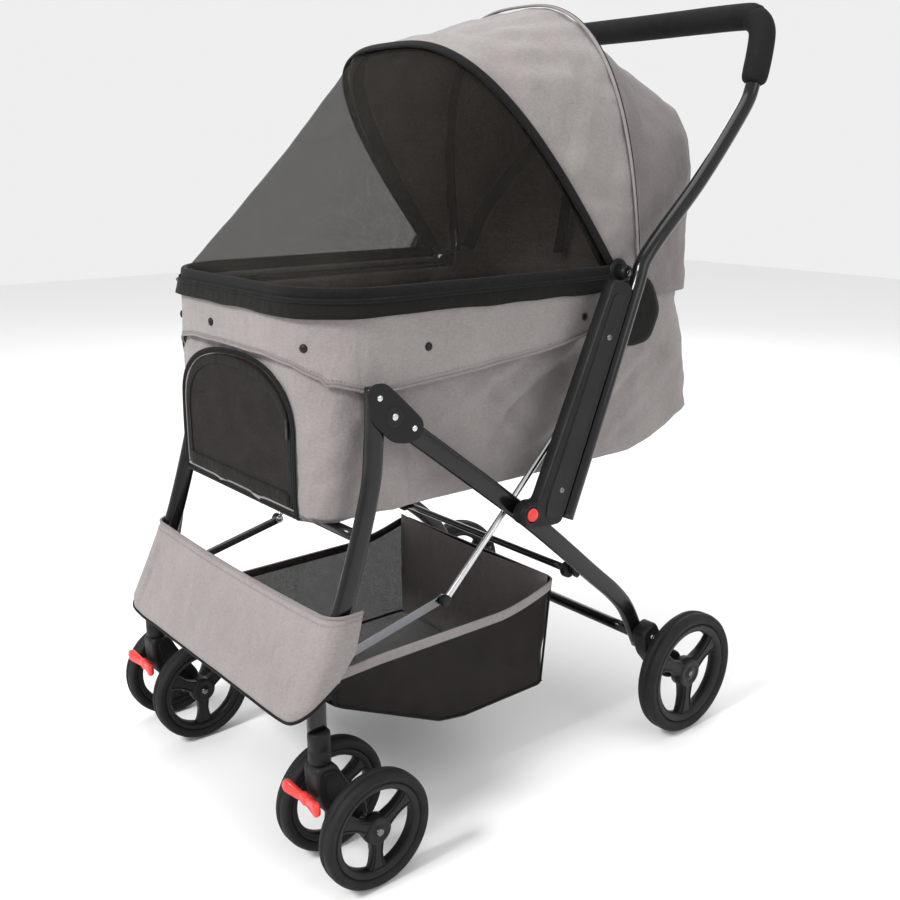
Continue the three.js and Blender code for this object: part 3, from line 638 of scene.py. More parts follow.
def spoked(name, node, body, x, centre, radius, width):
    """A moulded rim with three broad ribbed spokes and a raised hub cap."""
    outer, half = 0.82 * radius - 0.3, width / 2
    ring = [(outer, -half), (outer, half), (outer - 2.4, half + 0.2), (outer - 6.5, half - 1.6),
            (0.70 * radius, half - 3.2), (0.685 * radius, 0), (0.70 * radius, 3.2 - half), (outer - 6.5, 1.6 - half),
            (outer - 2.4, -half - 0.2), (outer, -half)]
    parts = [turned("ring", ring, (x, *centre), SATIN, segments=96)]
    hub = 0.24 * radius
    face = half + 0.6
    for s in (1, -1):
        cap = [(0, face), (0.34 * hub, face), (0.42 * hub, face - 1.2), (0.62 * hub, face - 1.4),
               (0.72 * hub, face - 0.2), (0.9 * hub, face - 0.8), (hub, face - 2.4), (hub * 1.05, 0)]
        parts.append(turned("cap", cap, (x, *centre), SATIN, segments=48, sign=s))
    for k in range(3):
        angle = math.radians(150 + 120 * k)
        c, s = math.cos(angle), math.sin(angle)
        stations = np.linspace(0.16, 0.72, 12) * radius
        spread = np.interp(stations / radius, [0.16, 0.26, 0.42, 0.6, 0.72], [0.30, 0.235, 0.20, 0.27, 0.42]) * radius
        deep = np.interp(stations / radius, [0.16, 0.45, 0.72], [half - 1.4, half - 2.6, half - 3.0])
        section = oval(1, 1, 24, 3.6)
        rings = []
        for r, w, d in zip(stations, spread, deep):
            across = section[:, 0] * w
            rings.append(np.stack([x + section[:, 1] * 2 * d, centre[0] + r * c - across * s,
                                   centre[1] + r * s + across * c], 1))
        faces = quads(12, 24, wrap_columns=True) + [tuple(range(24)), tuple(range(11 * 24, 12 * 24))]
        parts.append(mesh("spoke", np.array(rings).reshape(-1, 3), faces, SATIN))
        for edge in (-0.3, 0.3):
            line = np.stack([np.full(12, x), centre[0] + stations * c - edge * spread * s,
                             centre[1] + stations * s + edge * spread * c], 1)
            for face_sign in (1, -1):
                raised = line + np.stack([face_sign * (deep + 0.1), 0 * deep, 0 * deep], 1)
                parts.append(tube("rib", raised, 0.9, SATIN, sides=8))
    piece = merged(name, parts, body)
    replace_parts(piece, node)


CASTER_X, CASTER_Y, CASTER_WHEEL_Y, TWIN = 211.5, -363, -321.5, 45.5
for side, sign in SIDES:
    tyre(f"rear_tyre_round_{side}", f"rear_tyre_{side}", f"rear_wheel_{side}", sign * 256, REAR_HUB, 88, 28)
    spoked(f"rear_rim_spoked_{side}", f"rear_rim_{side}", f"rear_wheel_{side}", sign * 257, REAR_HUB, 88, 20)
    for place, offset in (("outer", sign * TWIN), ("inner", -sign * TWIN)):
        body, x = f"front_wheel_{place}_{side}", sign * CASTER_X + offset
        centre = (CASTER_WHEEL_Y, 70.5)
        tyre(f"front_tyre_round_{place}_{side}", f"front_tyre_{place}_{side}", body, x, centre, 70.5, 24)
        spoked(f"front_rim_spoked_{place}_{side}", f"front_rim_{place}_{side}", body, x, centre, 70.5, 18)

    at = sign * CASTER_X
    profile = [(0, 188.4), (11.2, 188.2), (12.6, 186.6), (13, 183), (13, 168), (12.2, 166.8), (13, 165.6), (13, 152),
               (12, 150.2), (0, 150.2)]
    socket = turned(f"caster_stem_{side}", profile, (at, CASTER_Y, 0), PLASTIC, "front_frame", 48, "z")
    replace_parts(socket, f"caster_socket_{side}")
    cheek = [[-376, 149.7], [-350, 149.7], [-336, 122], [-308, 80], [-310, 62], [-324, 55], [-338, 60],
             [-370, 98], [-376, 120]]
    body = plate("body", cheek, at - 15, at + 15, PLASTIC, bevel=4.5, radius=9)
    ridges = [plate("ridge", [[-368, 142], [-354, 142], [-334, 108], [-322, 84], [-336, 78], [-362, 112]],
                    *((at + 14.6, at + 16) if s > 0 else (at - 16, at - 14.6)), SATIN, bevel=0.6, radius=6)
              for s in (1, -1)]
    yoke = merged(f"caster_fork_moulded_{side}", [body, *ridges], f"caster_{side}")
    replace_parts(yoke, f"caster_fork_{side}")
    ends = [(0, 58), (3.6, 57.6), (5, 56), (5, -56), (3.6, -57.6), (0, -58)]
    pin = turned(f"caster_axle_pin_{side}", ends, (at, CASTER_WHEEL_Y, 70.5), DARK_STEEL, f"caster_{side}", 28)
    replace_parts(pin, f"caster_axle_{side}")

    along = np.linspace(-36, 36, 41)
    part = np.abs(along / 36)
    path = np.stack([at + along, -383.5 - 6.0 * part ** 1.6, 111 + 5.5 * part ** 2.2], 1)
    width = np.interp(part, [0, 0.2, 0.5, 0.86, 1.0], [1.05, 0.8, 0.95, 1.12, 0.62])
    wings = swept("wings", path, oval(8.5, 15, 24, 2.8), RED, up=(0, 0, 1), taper=width)
    hub = turned("hub", [(0, 8), (4.8, 8), (5.8, 7), (5.8, -7), (4.8, -8), (0, -8)], (at, -382, 111), RED,
                 segments=28)
    lever = merged(f"red_swivel_lever_{side}", [wings, hub], f"swivel_lock_{side}")
    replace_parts(lever, f"swivel_lever_{side}")

# Rim wire, hood pivots and hoops


def rim_curve(half_width, front, z, rear, corner=90.0, count=120):
    right = [[half_width, rear, z], [half_width, front + corner, z]]
    for step in range(1, 13):
        angle = math.radians(7.5 * step)
        right.append([half_width - corner + corner * math.cos(angle), front + corner - corner * math.sin(angle), z])
    return evenly(right + mirror(right), count)


def arch_curve(angle, reach, half_width, squareness=3.2, count=90, lowest=0.0, foot=HOOD_PIVOT):
    """A plane arch over its feet, leaning at an angle above the rearward direction."""
    t = np.linspace(0, math.pi, 721)
    rise = reach * np.abs(np.sin(t)) ** (2 / squareness)
    across = half_width * np.sign(np.cos(t)) * np.abs(np.cos(t)) ** (2 / squareness)
    rise = np.maximum(rise, lowest)
    lean = math.radians(angle)
    points = np.stack([across, foot[0] + rise * math.cos(lean), foot[1] + rise * math.sin(lean)], 1)
    return evenly(points, count)


wire = tube("wire", rim_curve(187, -324, 640, 136), 3.6, DARK_STEEL)
arms = []
for side, sign in SIDES:
    path = evenly([[sign * 186, TOP_HINGE[0], TOP_HINGE[1] - 6], [sign * 186, TOP_HINGE[0], 640]], 14)
    arms.append(swept("arm", path, oval(15.6, 4.6, 24), PLASTIC, up=(1, 0, 0)))
    arms.append(turned("pin", [(0, 200.7), (4, 200.7), (4, 188), (7.4, 187.6), (7.4, 185), (0, 184.6)],
                       (0, *TOP_HINGE), DARK_STEEL, segments=28, sign=sign))
rim_piece = merged("rim_wire", [wire, *arms], "rim")
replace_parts(rim_piece, "rim_frame")

for side, sign in SIDES:
    profile = [(0, 198.2), (3.2, 198.2), (4, 197.4), (12.4, 197), (15.6, 196), (17, 194.2), (17, 192), (0, 191.6)]
    disc = turned("disc", profile, (0, *HOOD_PIVOT), PLASTIC, segments=56, sign=sign)
    stud = turned("stud", [(0, 212), (7, 211.8), (9.2, 210.2), (10, 207), (10, 196), (0, 196)], (0, *HOOD_PIVOT),
                  SATIN, segments=40, sign=sign)
    screw = rivet("screw", sign * 212, *HOOD_PIVOT, sign, 3.6, 1.0, DARK_STEEL)
    pivot = merged(f"hood_pivot_knob_{side}", [disc, stud, screw], "rim")
    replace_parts(pivot, f"hood_pivot_{side}")

# Cabin


def loop_half(w, f, r, cf, cr, s):
    """The point at arc length s round half of a rounded rectangle, from the middle of its front."""
    a, b, c = w - cf, cf * math.pi / 2, (r - cr) - (f + cf)
    d = cr * math.pi / 2
    if s <= a:
        return s, f
    if s <= a + b:
        t = (s - a) / cf
        return w - cf + cf * math.sin(t), f + cf - cf * math.cos(t)
    if s <= a + b + c:
        return w, f + cf + (s - a - b)
    if s <= a + b + c + d:
        t = (s - a - b - c) / cr
        return w - cr + cr * math.cos(t), r - cr + cr * math.sin(t)
    return max(0.0, w - cr - (s - a - b - c - d)), r


def half_length(w, f, r, cf, cr):
    return (w - cf) + cf * math.pi / 2 + (r - cr) - (f + cf) + cr * math.pi / 2 + (w - cr)


# z, half width, front, rear, front corner, rear corner
CABIN = np.array([
    [405, 168.0, -331.0, 215.0, 40, 40],
    [412, 172.0, -333.5, 236.0, 43, 42],
    [428, 175.5, -334.0, 285.0, 45, 46],
    [448, 178.0, -334.0, 324.0, 48, 50],
    [475, 179.5, -334.0, 327.0, 52, 54],
    [520, 180.5, -333.5, 322.0, 58, 58],
    [560, 181.0, -331.5, 316.0, 66, 64],
    [600, 181.0, -325.0, 309.0, 76, 74],
    [636, 181.0, -315.5, 304.5, 84, 84],
])


def cabin_point(s, z, grow=0.0):
    row = [np.interp(z, CABIN[:, 0], CABIN[:, k]) for k in range(1, 6)]
    w, f, r, cf, cr = row[0] + grow, row[1] - grow, row[2] + grow, row[3] + grow, row[4] + grow
    total = half_length(w, f, r, cf, cr)
    size = abs(s)
    x, y = loop_half(w, f, r, cf, cr, min(size, total))
    return [math.copysign(x, s) if size > 0 else 0.0, y, z]


def cabin_total(z):
    return half_length(*[np.interp(z, CABIN[:, 0], CABIN[:, k]) for k in range(1, 6)])


FRONT_SPAN = 282.0
DOOR_HALF, DOOR_LOW, DOOR_HIGH = 128.0, 416.0, 572.0


def door_outline(half, low, high, count):
    """The doorway from its lower left corner: bottom, right side, arch, left side."""
    spring = high - 78
    bottom = evenly([[-half, low], [half, low]], count + 1)[:-1]
    right = evenly([[half, low], [half, spring]], count + 1)[:-1]
    t = np.linspace(0, math.pi, 6 * count)
    arch = np.stack([half * np.sign(np.cos(t)) * np.abs(np.cos(t)) ** 0.83, spring + 78 * np.sin(t) ** 0.83
                     * (high - spring) / 78], 1)
    arch = evenly(arch, 2 * count + 1)[:-1]
    left = evenly([[-half, spring], [-half, low]], count + 1)[:-1]
    return np.vstack([bottom, right, arch, left])


def front_wall():
    count, rings = 22, 18
    inner = door_outline(DOOR_HALF + 1.5, DOOR_LOW - 1.5, DOOR_HIGH + 1.5, count)
    low, high, wide = 405.0, 634.0, FRONT_SPAN
    outer = np.vstack([
        evenly([[-wide, low], [wide, low]], count + 1)[:-1], evenly([[wide, low], [wide, high]], count + 1)[:-1],
        evenly([[wide, high], [-wide, high]], 2 * count + 1)[:-1],
        evenly([[-wide, high], [-wide, low]], count + 1)[:-1]])
    grid = []
    for t in np.linspace(0, 1, rings):
        ring = inner * (1 - t) + outer * t
        points = []
        for s, z in ring:
            x, y, height = cabin_point(s, z)
            # Gathers hang from the collar, fading towards the door and the sides
            depth = np.clip((z - 560) / 60, 0, 1) * np.clip((170 - abs(s)) / 60, 0, 1)
            pleat = 4.2 * depth * math.sin(s * 0.21 + 0.6 * math.sin(s * 0.05))
            points.append([x, y - pleat, height])
        grid.append(points)
    grid = wrinkled(grid, 5.0, 46, 3.1)
    grid[0] = [cabin_point(s, z) for s, z in inner]
    return grid


def closed_rings(grid):
    grid = np.asarray(grid)
    return np.concatenate([grid, grid[:, :1]], axis=1)


wall = sheet("cabin_front_wall", closed_rings(front_wall()), GREY, 1.6, LINING)


# Long drape lines in the side walls, from the rear hoop down to the front hinge: start and end in (y, z), depth
DRAPE_LINES = [((150, 600), (-120, 455), 5.5), ((60, 590), (-190, 470), 4.5), ((250, 560), (60, 440), 5.0),
               ((290, 480), (150, 600), 4.0), ((-20, 520), (-110, 425), 5.0), ((90, 480), (-40, 420), 4.5),
               ((-200, 560), (-150, 430), 4.0), ((-110, 560), (20, 425), 3.5), ((210, 470), (130, 420), 4.0)]


def side_wall():
    columns, levels = 190, np.r_[405, 408, 412, 418, np.linspace(426, 634, 34)]
    grid = []
    for z in levels:
        total, row = cabin_total(z), []
        for u in np.linspace(0, 1, columns):
            s = (FRONT_SPAN - 26) + u * 2 * (total - FRONT_SPAN + 26)
            row.append(cabin_point(s, z, -0.7) if s <= total else cabin_point(-(2 * total - s), z, -0.7))
        grid.append(row)
    grid = np.array(grid)
    soft = np.clip((levels - 408) / 30, 0.15, 1)[:, None] * np.clip((634 - levels) / 30, 0.1, 1)[:, None]
    grid = wrinkled(grid, 7.5, 62, 7.7, soft)
    for start, end, deep in DRAPE_LINES:
        a, b = np.array(start, float), np.array(end, float)
        line = (b - a) / np.linalg.norm(b - a)
        rel = grid[..., 1:] - a
        along = np.clip(rel @ line / np.linalg.norm(b - a), 0, 1)
        away = rel[..., 0] * line[1] - rel[..., 1] * line[0]
        crease = (np.exp(-(away / 9) ** 2) - 0.8 * np.exp(-((away - 17) / 10) ** 2)) * np.sin(math.pi * along)
        inward = np.sign(grid[..., 0]) * (np.abs(grid[..., 0]) > 150)
        grid[..., 0] -= inward * deep * crease
    return grid


wall_side = sheet("cabin_side_wall", side_wall(), GREY, 1.6, LINING)


def cabin_bottom():
    grid = []
    for k in np.linspace(1, 0.02, 9):
        row = []
        for u in np.linspace(0, 1, 121):
            s = (2 * u - 1) * cabin_total(405)
            x, y, _ = cabin_point(s, 405)
            row.append([x * k * 0.995, -58 + (y + 58) * k * 0.995, 406.0 - 0.8 * (1 - k)])
        grid.append(row)
    return grid


under = sheet("cabin_underside", cabin_bottom(), LINING, 1.0)
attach(under, "rear_frame")
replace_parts(under, "floor_board")
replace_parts(wall, "cabin_tub")
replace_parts(wall_side, "cabin_tub")

# The collar covers the rim wire and hangs over the cabin's walls.


def collar_rim():
    return rim_curve(191.5, -331.5, 0, 128, 90, 250)


def collar_low(y, x):
    side = np.interp(y, [-300, -266, -232, -120, 0, 57, 100, 128], [562, 551, 553, 561, 572, 582, 592, 600])
    return side if abs(x) > 160 else np.interp(abs(x), [0, 90, 130, 160], [588, 588, 582, 568])


def collar():
    path = collar_rim()
    tangent = unit(np.gradient(path, axis=0))
    outward = np.stack([tangent[:, 1], -tangent[:, 0], 0 * tangent[:, 0]], 1)
    if outward[0, 0] < 0:
        outward = -outward
    grid = []
    for k in range(20):
        row = []
        for i, (p, n) in enumerate(zip(path, outward)):
            low = collar_low(p[1], p[0])
            tuck = [(-7.0, 641), (-6.6, 647), (-4.0, 651.4), (-1.0, 652.6), (1.2, 651.2), (1.9, 647), (2.0, 641)]
            if k < len(tuck):
                out, z = tuck[k]
            else:
                t = (k - len(tuck) + 1) / (20 - len(tuck))
                z = 641 + (low - 641) * t
                slow = noise.noise(Vector((i * 0.07, 2.0, t * 0.8)))
                quick = noise.noise(Vector((i * 0.21, 5.0, t * 1.4)))
                wave = (slow * 4.0 + quick * 1.8 + 2.6) * t
                out = 2.0 - 1.0 * t + wave - 1.2 * math.sin(math.pi * t)
            row.append([p[0] + n[0] * out, p[1] + n[1] * out, z])
        grid.append(row)
    return np.array(grid), outward


collar_grid, collar_out = collar()
band = sheet("collar_band", collar_grid, GREY, 1.5, GREY_BINDING)
hem = tube("hem", collar_grid[-1] + collar_out * 0.2, 1.7, GREY_BINDING, sides=10)
hem_line = collar_grid[-2] + collar_out * 0.6
thread = stitches("thread", hem_line, GREY_BINDING, 4.5, 2.8, 0.4)
band = merged("cabin_collar", [band, hem, thread], "rim")


def stud_at(name, x, y, z, body):
    """A black snap stud on the collar, facing out of it."""
    distance = np.linalg.norm(collar_grid - np.array([x, y, z]), axis=2)
    i, j = np.unravel_index(distance.argmin(), distance.shape)
    at, out = collar_grid[i, j], collar_out[j]
    frame_x, frame_y = unit(np.cross(out, (0, 0, 1.0))), np.array([0, 0, 1.0])
    profile = [(0, 3.0), (2.0, 2.8), (3.3, 2.1), (4.4, 1.5), (4.8, 0.6), (4.8, -0.6)]
    points, segments = [], 24
    for k in range(segments):
        angle = 2 * math.pi * k / segments
        radial = frame_x * math.cos(angle) + frame_y * math.sin(angle)
        points += [at + radial * r + out * h for r, h in profile]
    return mesh(name, points, quads(segments, len(profile), wrap_rows=True), SATIN, body)


studs = [stud_at("stud", *at, None) for at in ((-46, -345, 611), (155, -345, 605), (193, -190, 592), (193, 57, 606),
                                               (-155, -345, 605), (-193, -190, 592), (-193, 57, 606))]
merged("collar_snap_studs", studs, "rim")

# Black binding and zip between the collar and the hood mesh.

edge_path = rim_curve(190.5, -328.5, 656.5, 118, 90, 220)
edge_band = swept("band", edge_path, oval(8.5, 19, 28, 2.6), BINDING, up=(0, 0, 1))
skirt_low = rim_curve(198.0, -338.6, 634, 118, 90, 220)
skirt_high = rim_curve(194.6, -334.0, 655, 118, 90, 220)
for i, p in enumerate(skirt_low):
    skirt_low[i, 2] += 2.2 * noise.noise(Vector((i * 0.11, 0.3, 0)))
skirt_grid = np.array([skirt_high * (1 - t) + skirt_low * t for t in np.linspace(0, 1, 7)])
skirt = sheet("skirt", skirt_grid, BLACK_CLOTH, 1.2)
zip_path = rim_curve(196.4, -336.2, 650.0, 116, 90, 260)
teeth = merged("teeth", [stitches("teeth", zip_path, SATIN, 2.6, 1.7, 0.9), skirt])
edge_piece = merged("mesh_edge_binding", [edge_band, teeth], "hood_front")
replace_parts(edge_piece, "hood_hoop_front")

# Door: a mesh panel with a bound edge, and the zip frame round the doorway.


def door_ring(grow, y, count=22):
    outline = door_outline(DOOR_HALF + grow, DOOR_LOW - grow, DOOR_HIGH + grow, count)
    return np.array([[s, y, z] for s, z in outline])


def door_panel():
    outline = door_outline(DOOR_HALF - 3, DOOR_LOW + 3, DOOR_HIGH - 3, 22)
    centre = np.array([0, 488.0])
    grid = []
    for t in np.linspace(0.0, 1, 14):
        ring = outline * (1 - t) + centre * t
        bulge = 1.4 * math.sin(math.pi * (1 - t) * 0.5) if t > 0 else 1.4
        grid.append([[s, -332.6 + bulge - 1.4, z] for s, z in ring])
    return closed_rings(np.array(grid))


panel = sheet("panel", door_panel(), DOOR_MESH, 0.8)
edging = swept("edging", door_ring(-5.6, -332.9), oval(11, 2.6, 20), BLACK_CLOTH, up=(0, 1, 0), closed_path=True)
sill = evenly([[-122, -333.6, 426.0], [122, -333.6, 426.0]], 30)
bottom_band = swept("bottom_band", sill, oval(2.6, 15, 20), BLACK_CLOTH, up=(0, 0, 1))
pull = plate("pull", [[-336.6, 520], [-335.2, 520], [-335.2, 498], [-336.6, 498]], 121, 126, SATIN,
             bevel=0.5, radius=0.5)
door = merged("door_mesh_panel", [panel, edging, bottom_band, pull], "door")
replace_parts(door, "door_flap")

frame_ring = np.array([np.array(cabin_point(s, z, 0.6)) for s, z in
                       door_outline(DOOR_HALF + 5.0, DOOR_LOW - 6.5, DOOR_HIGH + 5.0, 22)])
zip_ring = swept("zip_ring", frame_ring, oval(7.0, 2.0, 16), BINDING, up=(0, 1, 0), closed_path=True)
zip_line = np.vstack([frame_ring, frame_ring[:1]]) + [0, -1.6, 0]
zip_teeth = stitches("teeth", zip_line, SATIN, 2.6, 1.6, 0.8, up=(0, 1, 0))
door_frame = merged("doorway_binding", [zip_ring, zip_teeth])

# Hood


def hood_mesh_grid():
    low = rim_curve(187.5, -326, 664, 112, 90, 121)
    high = arch_curve(128.3, 346, 185, 3.1, 121)
    grid = []
    for t in np.linspace(0, 1, 26):
        row = low * (1 - t) + high * t
        slack = 4.0 * math.sin(math.pi * t)
        inward = np.array([0, 60, 640]) - row
        grid.append(row + unit(inward) * slack)
    return wrinkled(np.array(grid), 1.6, 55, 1.3)


hood_screen = sheet("hood_mesh_screen", hood_mesh_grid(), MESH, 0.5)
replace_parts(hood_screen, "hood_mesh")

# Rows of arches from front to rear: angle, reach, half width, squareness, foot y
HOOD_FRONT = np.array([[128, 347, 187, 3.1, 117], [118, 336, 190, 3.0, 123], [108, 330, 191.5, 2.9, 138],
                       [97, 333, 192, 2.75, 160]])
HOOD_REAR = np.array([[97, 328, 190, 2.75, 161], [90, 300, 189, 2.9, 161], [82, 276, 188, 3.2, 160],
                      [70, 266, 187, 3.5, 160], [60, 266, 187, 3.6, 160], [47, 250, 187, 3.5, 160],
                      [32, 200, 187, 3.4, 160], [16, 172, 187, 3.6, 160], [0, 156, 187, 4.2, 160],
                      [-8, 156, 187, 4.6, 160]])


def hood_row(table, t, columns, tuck=0.0):
    """One arch of the cloth between hoops, at a share t of the way along the table; tuck draws it in."""
    place = t * (len(table) - 1)
    i = min(int(place), len(table) - 2)
    angle, reach, width, square, foot = table[i] + (table[i + 1] - table[i]) * (place - i)
    drawn = 1 - tuck * math.sin(math.pi * t)
    return arch_curve(angle, reach * drawn, width, square, columns, 0, (foot, REAR_FOOT[1]))


def hood_grid(table, rows, columns, tuck=0.0):
    return np.array([hood_row(table, t, columns, tuck) for t in np.linspace(0, 1, rows)])


def creased(grid, lines):
    """Soft folds pressed into cloth along lines given as start, end, width and depth."""
    normal = outward_normals(grid, (0, 0, 600))
    out = grid.copy()
    for start, end, width, depth in lines:
        a, b = np.array(start, float), np.array(end, float)
        length = np.linalg.norm(b - a)
        line = (b - a) / length
        rel = grid - a
        along = (rel @ line) / length
        away = np.linalg.norm(rel - (rel @ line)[..., None] * line, axis=-1)
        inside = np.clip(along, 0, 1)
        push = depth * np.exp(-(away / width) ** 2) * np.sin(math.pi * inside) * ((along > 0) & (along < 1))
        ridge = -0.7 * depth * np.exp(-((away - 1.9 * width) / width) ** 2) * np.sin(math.pi * inside)
        out -= normal * (push + ridge * ((along > 0) & (along < 1)))[..., None]
    return out


CANOPY_FOLDS = [((178, 10, 700), (150, 120, 900), 10, 3), ((185, 60, 720), (120, 60, 935), 9, 2.4),
                ((170, -20, 790), (185, 130, 740), 11, 3), ((120, -60, 900), (150, 110, 905), 12, 2.6),
                ((60, -40, 940), (90, 120, 965), 12, 2.4), ((-60, -40, 940), (-20, 100, 975), 12, 2.4),
                ((-178, 10, 700), (-150, 120, 900), 10, 3), ((-170, -20, 790), (-185, 130, 740), 11, 3)]
front_grid = creased(wrinkled(hood_grid(HOOD_FRONT, 44, 171, 0.022), 4.0, 55, 5.5), CANOPY_FOLDS)
canopy = sheet("canopy_front", front_grid, GREY, 1.6, LINING)
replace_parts(canopy, "hood_front_panel")

rear_grid = hood_grid(HOOD_REAR, 50, 151)
last_row = rear_grid[-1]
hanging = [np.stack([last_row[:, 0], last_row[:, 1], last_row[:, 2] * (1 - t) + 622 * t], 1) for t in (0.35, 0.7, 1)]
rear_grid = wrinkled(np.concatenate([rear_grid, hanging]), 4.6, 62, 9.1)
canopy_rear = sheet("canopy_rear", rear_grid, GREY_DARK, 1.6, LINING)
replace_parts(canopy_rear, "hood_rear_panel")

# Dark tapes sewn inside the rear section, round its back window
UPRIGHT = [[90, 292, 652], [90, 303, 700], [90, 309, 750], [90, 305, 800], [88, 288, 838]]
SLANT = [[168, 172, 662], [163, 200, 716], [150, 242, 768], [132, 268, 806], [106, 282, 832]]
back_tapes = []
for side, sign in SIDES:
    for name, line, face in (("upright", UPRIGHT, (0, 1, 0.2)), ("slant", SLANT, (1, 0.5, 0.4))):
        path = smooth([[sign * x, y, z] for x, y, z in line], 40)
        back_tapes.append(swept(name, path, oval(22, 2.4, 20), BLACK_CLOTH, up=(sign * face[0], face[1], face[2])))
level = smooth([[-90, 304, 804], [0, 311, 808], [90, 304, 804]], 40)
back_tapes.append(swept("level", level, oval(18, 2.4, 20), BLACK_CLOTH, up=(0, 1, 0.4)))
hood_tapes = merged("canopy_rear_tapes", back_tapes)


def rib_tape(name, row, wide, thick, material):
    """A flat tape lying along an arch of the hood, its broad side facing outwards."""
    outward = unit(row - np.array([0, 120, 640]))
    return swept(name, row, oval(wide, thick, 20), material, up=outward)


arch_edge = arch_curve(128.6, 348, 188, 3.1, 150, 6)
tape = rib_tape("tape", arch_edge, 11, 4.2, BINDING)
inner_sleeve = rib_tape("sleeve", arch_curve(126.2, 336, 178, 3.1, 150, 10), 22, 3.0, BLACK_CLOTH)
tape_piece = merged("canopy_edge_binding", [tape, inner_sleeve], "hood_arch")
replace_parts(tape_piece, "hood_hoop_arch")

seam = arch_curve(97, 335.5, 193.5, 2.75, 160, 0, REAR_FOOT)
piping = tube("piping", seam, 1.5, BLACK_CLOTH, sides=10)
seam_lip = rib_tape("lip", arch_curve(97.4, 335.2, 193, 2.75, 160, 0, REAR_FOOT), 7, 3.2, GREY)
casing = rib_tape("casing", arch_curve(97, 322, 181, 2.75, 140, 0, REAR_FOOT), 16, 3.0, BLACK_CLOTH)
legs = [swept("leg", smooth([[sign * 174, HOOD_PIVOT[0], 657], [sign * 174, 145, 657], [sign * 176, 157, 667],
                             [sign * 184, 157, 700]], 20), circle(3.2, 14), DARK_STEEL) for _, sign in SIDES]
seam_piece = merged("canopy_seam", [piping, seam_lip, casing, *legs], "hood_rear")
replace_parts(seam_piece, "hood_hoop_rear")

# Black side gussets behind the handle tubes

gussets = []
for side, sign in SIDES:
    patch = [(134, 652), (160, 655), (190, 640), (209, 600), (190, 561), (150, 556), (120, 566), (118, 620)]
    outline = rounded_outline(patch, 14)
    centre = outline.mean(0)
    grid = []
    for t in np.linspace(1, 0, 8):
        ring = outline * t + centre * (1 - t)
        grid.append([[sign * (189.4 + 1.2 * (1 - t ** 4)), y, z] for y, z in ring])
    gusset = sheet(f"side_gusset_{side}", closed_rings(np.array(grid)), BLACK_CLOTH, 1.0)
    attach(gusset, "rim")
    gussets.append(gusset)

# Mat


def mat():
    grid = []
    outline = rounded_outline([(-163, -315), (163, -315), (163, 205), (-163, 205)], 36, 8)
    centre = outline.mean(0)
    top = [(1.0, 412.2), (1.0, 424), (0.985, 431), (0.965, 433.4), (0.93, 433.9)] + [
        (k, 433.9 - 1.6 * (1 - k)) for k in np.linspace(0.85, 0.02, 12)]
    bottom = [(0.02, 412.0), (0.5, 412.0), (0.97, 412.0)]
    for k, z in bottom + top:
        grid.append([[*(centre + (p - centre) * k), z] for p in outline])
    grid = np.array(grid)
    return mesh("cabin_mat", grid.reshape(-1, 3), quads(len(grid), len(outline), wrap_columns=True),
                LINING, "rear_frame")


PRESSURE, STEPS = 4, 20
MAT_SEAMS = (-185, -55, 75)


def evaluated(obj):
    """The object's mesh with its modifiers applied."""
    graph = bpy.context.evaluated_depsgraph_get()
    return bpy.data.meshes.new_from_object(obj.evaluated_get(graph))


def swollen(piece, voxel, cap, lowest):
    """A pad remeshed and swelled by cloth pressure, with no point moved further than the cap."""
    remesh = piece.modifiers.new("remesh", "REMESH")
    remesh.mode = "VOXEL"
    remesh.voxel_size = voxel * MM
    remesh.use_smooth_shade = True
    piece.data = evaluated(piece)
    piece.modifiers.clear()
    start = np.array([v.co for v in piece.data.vertices])
    cloth = piece.modifiers.new("cloth", "CLOTH")
    cloth.settings.use_pressure = True
    cloth.settings.uniform_pressure_force = PRESSURE
    cloth.settings.effector_weights.gravity = 0
    for number in range(1, STEPS + 1):
        bpy.context.scene.frame_set(number)
    swell = evaluated(piece)
    moved = np.array([v.co for v in swell.vertices]) - start
    piece.modifiers.clear()
    bpy.context.scene.frame_set(1)
    far = np.linalg.norm(moved, axis=1, keepdims=True)
    points = start + moved * np.minimum(1, cap * MM / np.maximum(far, 1e-9))
    points[:, 2] = np.maximum(points[:, 2], lowest * MM)
    return points


def sewn(points, piece):
    """Channels sewn across a pad pull its top down in a row of narrow grooves."""
    top = points[:, 2] > np.median(points[:, 2])
    for y in MAT_SEAMS:
        groove = 4.0 * np.exp(-((points[:, 1] / MM - y) / 5.5) ** 2)
        points[:, 2] -= groove * MM * top
    piece.data.vertices.foreach_set("co", points.ravel())
    piece.data.update()


mat_piece = mat()
sewn(swollen(mat_piece, 5.0, 6.0, 411.6), mat_piece)
subdivision = mat_piece.modifiers.new("subdivision", "SUBSURF")
subdivision.levels = subdivision.render_levels = 1
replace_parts(mat_piece, "cushion_mat")

# Basket

def basket_shell():
    """Rings from the sloping rim down to the floor's outline, which rises towards the front."""
    high = rounded_outline([(-168.5, -320), (168.5, -320), (168.5, 42.5), (-168.5, 42.5)], 14, 5)
    low = rounded_outline([(-159, -308), (159, -308), (159, 37), (-159, 37)], 16, 5)
    high, low = evenly(np.vstack([high, high[:1]]), 201), evenly(np.vstack([low, low[:1]]), 201)
    rise = 227 + 23 * np.clip((high[:, 1] + 60) / 104, 0, 1) ** 1.6 - 3 * np.clip((-250 - high[:, 1]) / 70, 0, 1)
    floor_z = np.interp(low[:, 1], [-308, -150, -110, 38], [176, 101, 94, 94])
    rows = [np.column_stack([low + (high - low) * t, floor_z + (rise - floor_z) * t]) for t in np.linspace(1, 0, 22)]
    return np.array(rows)


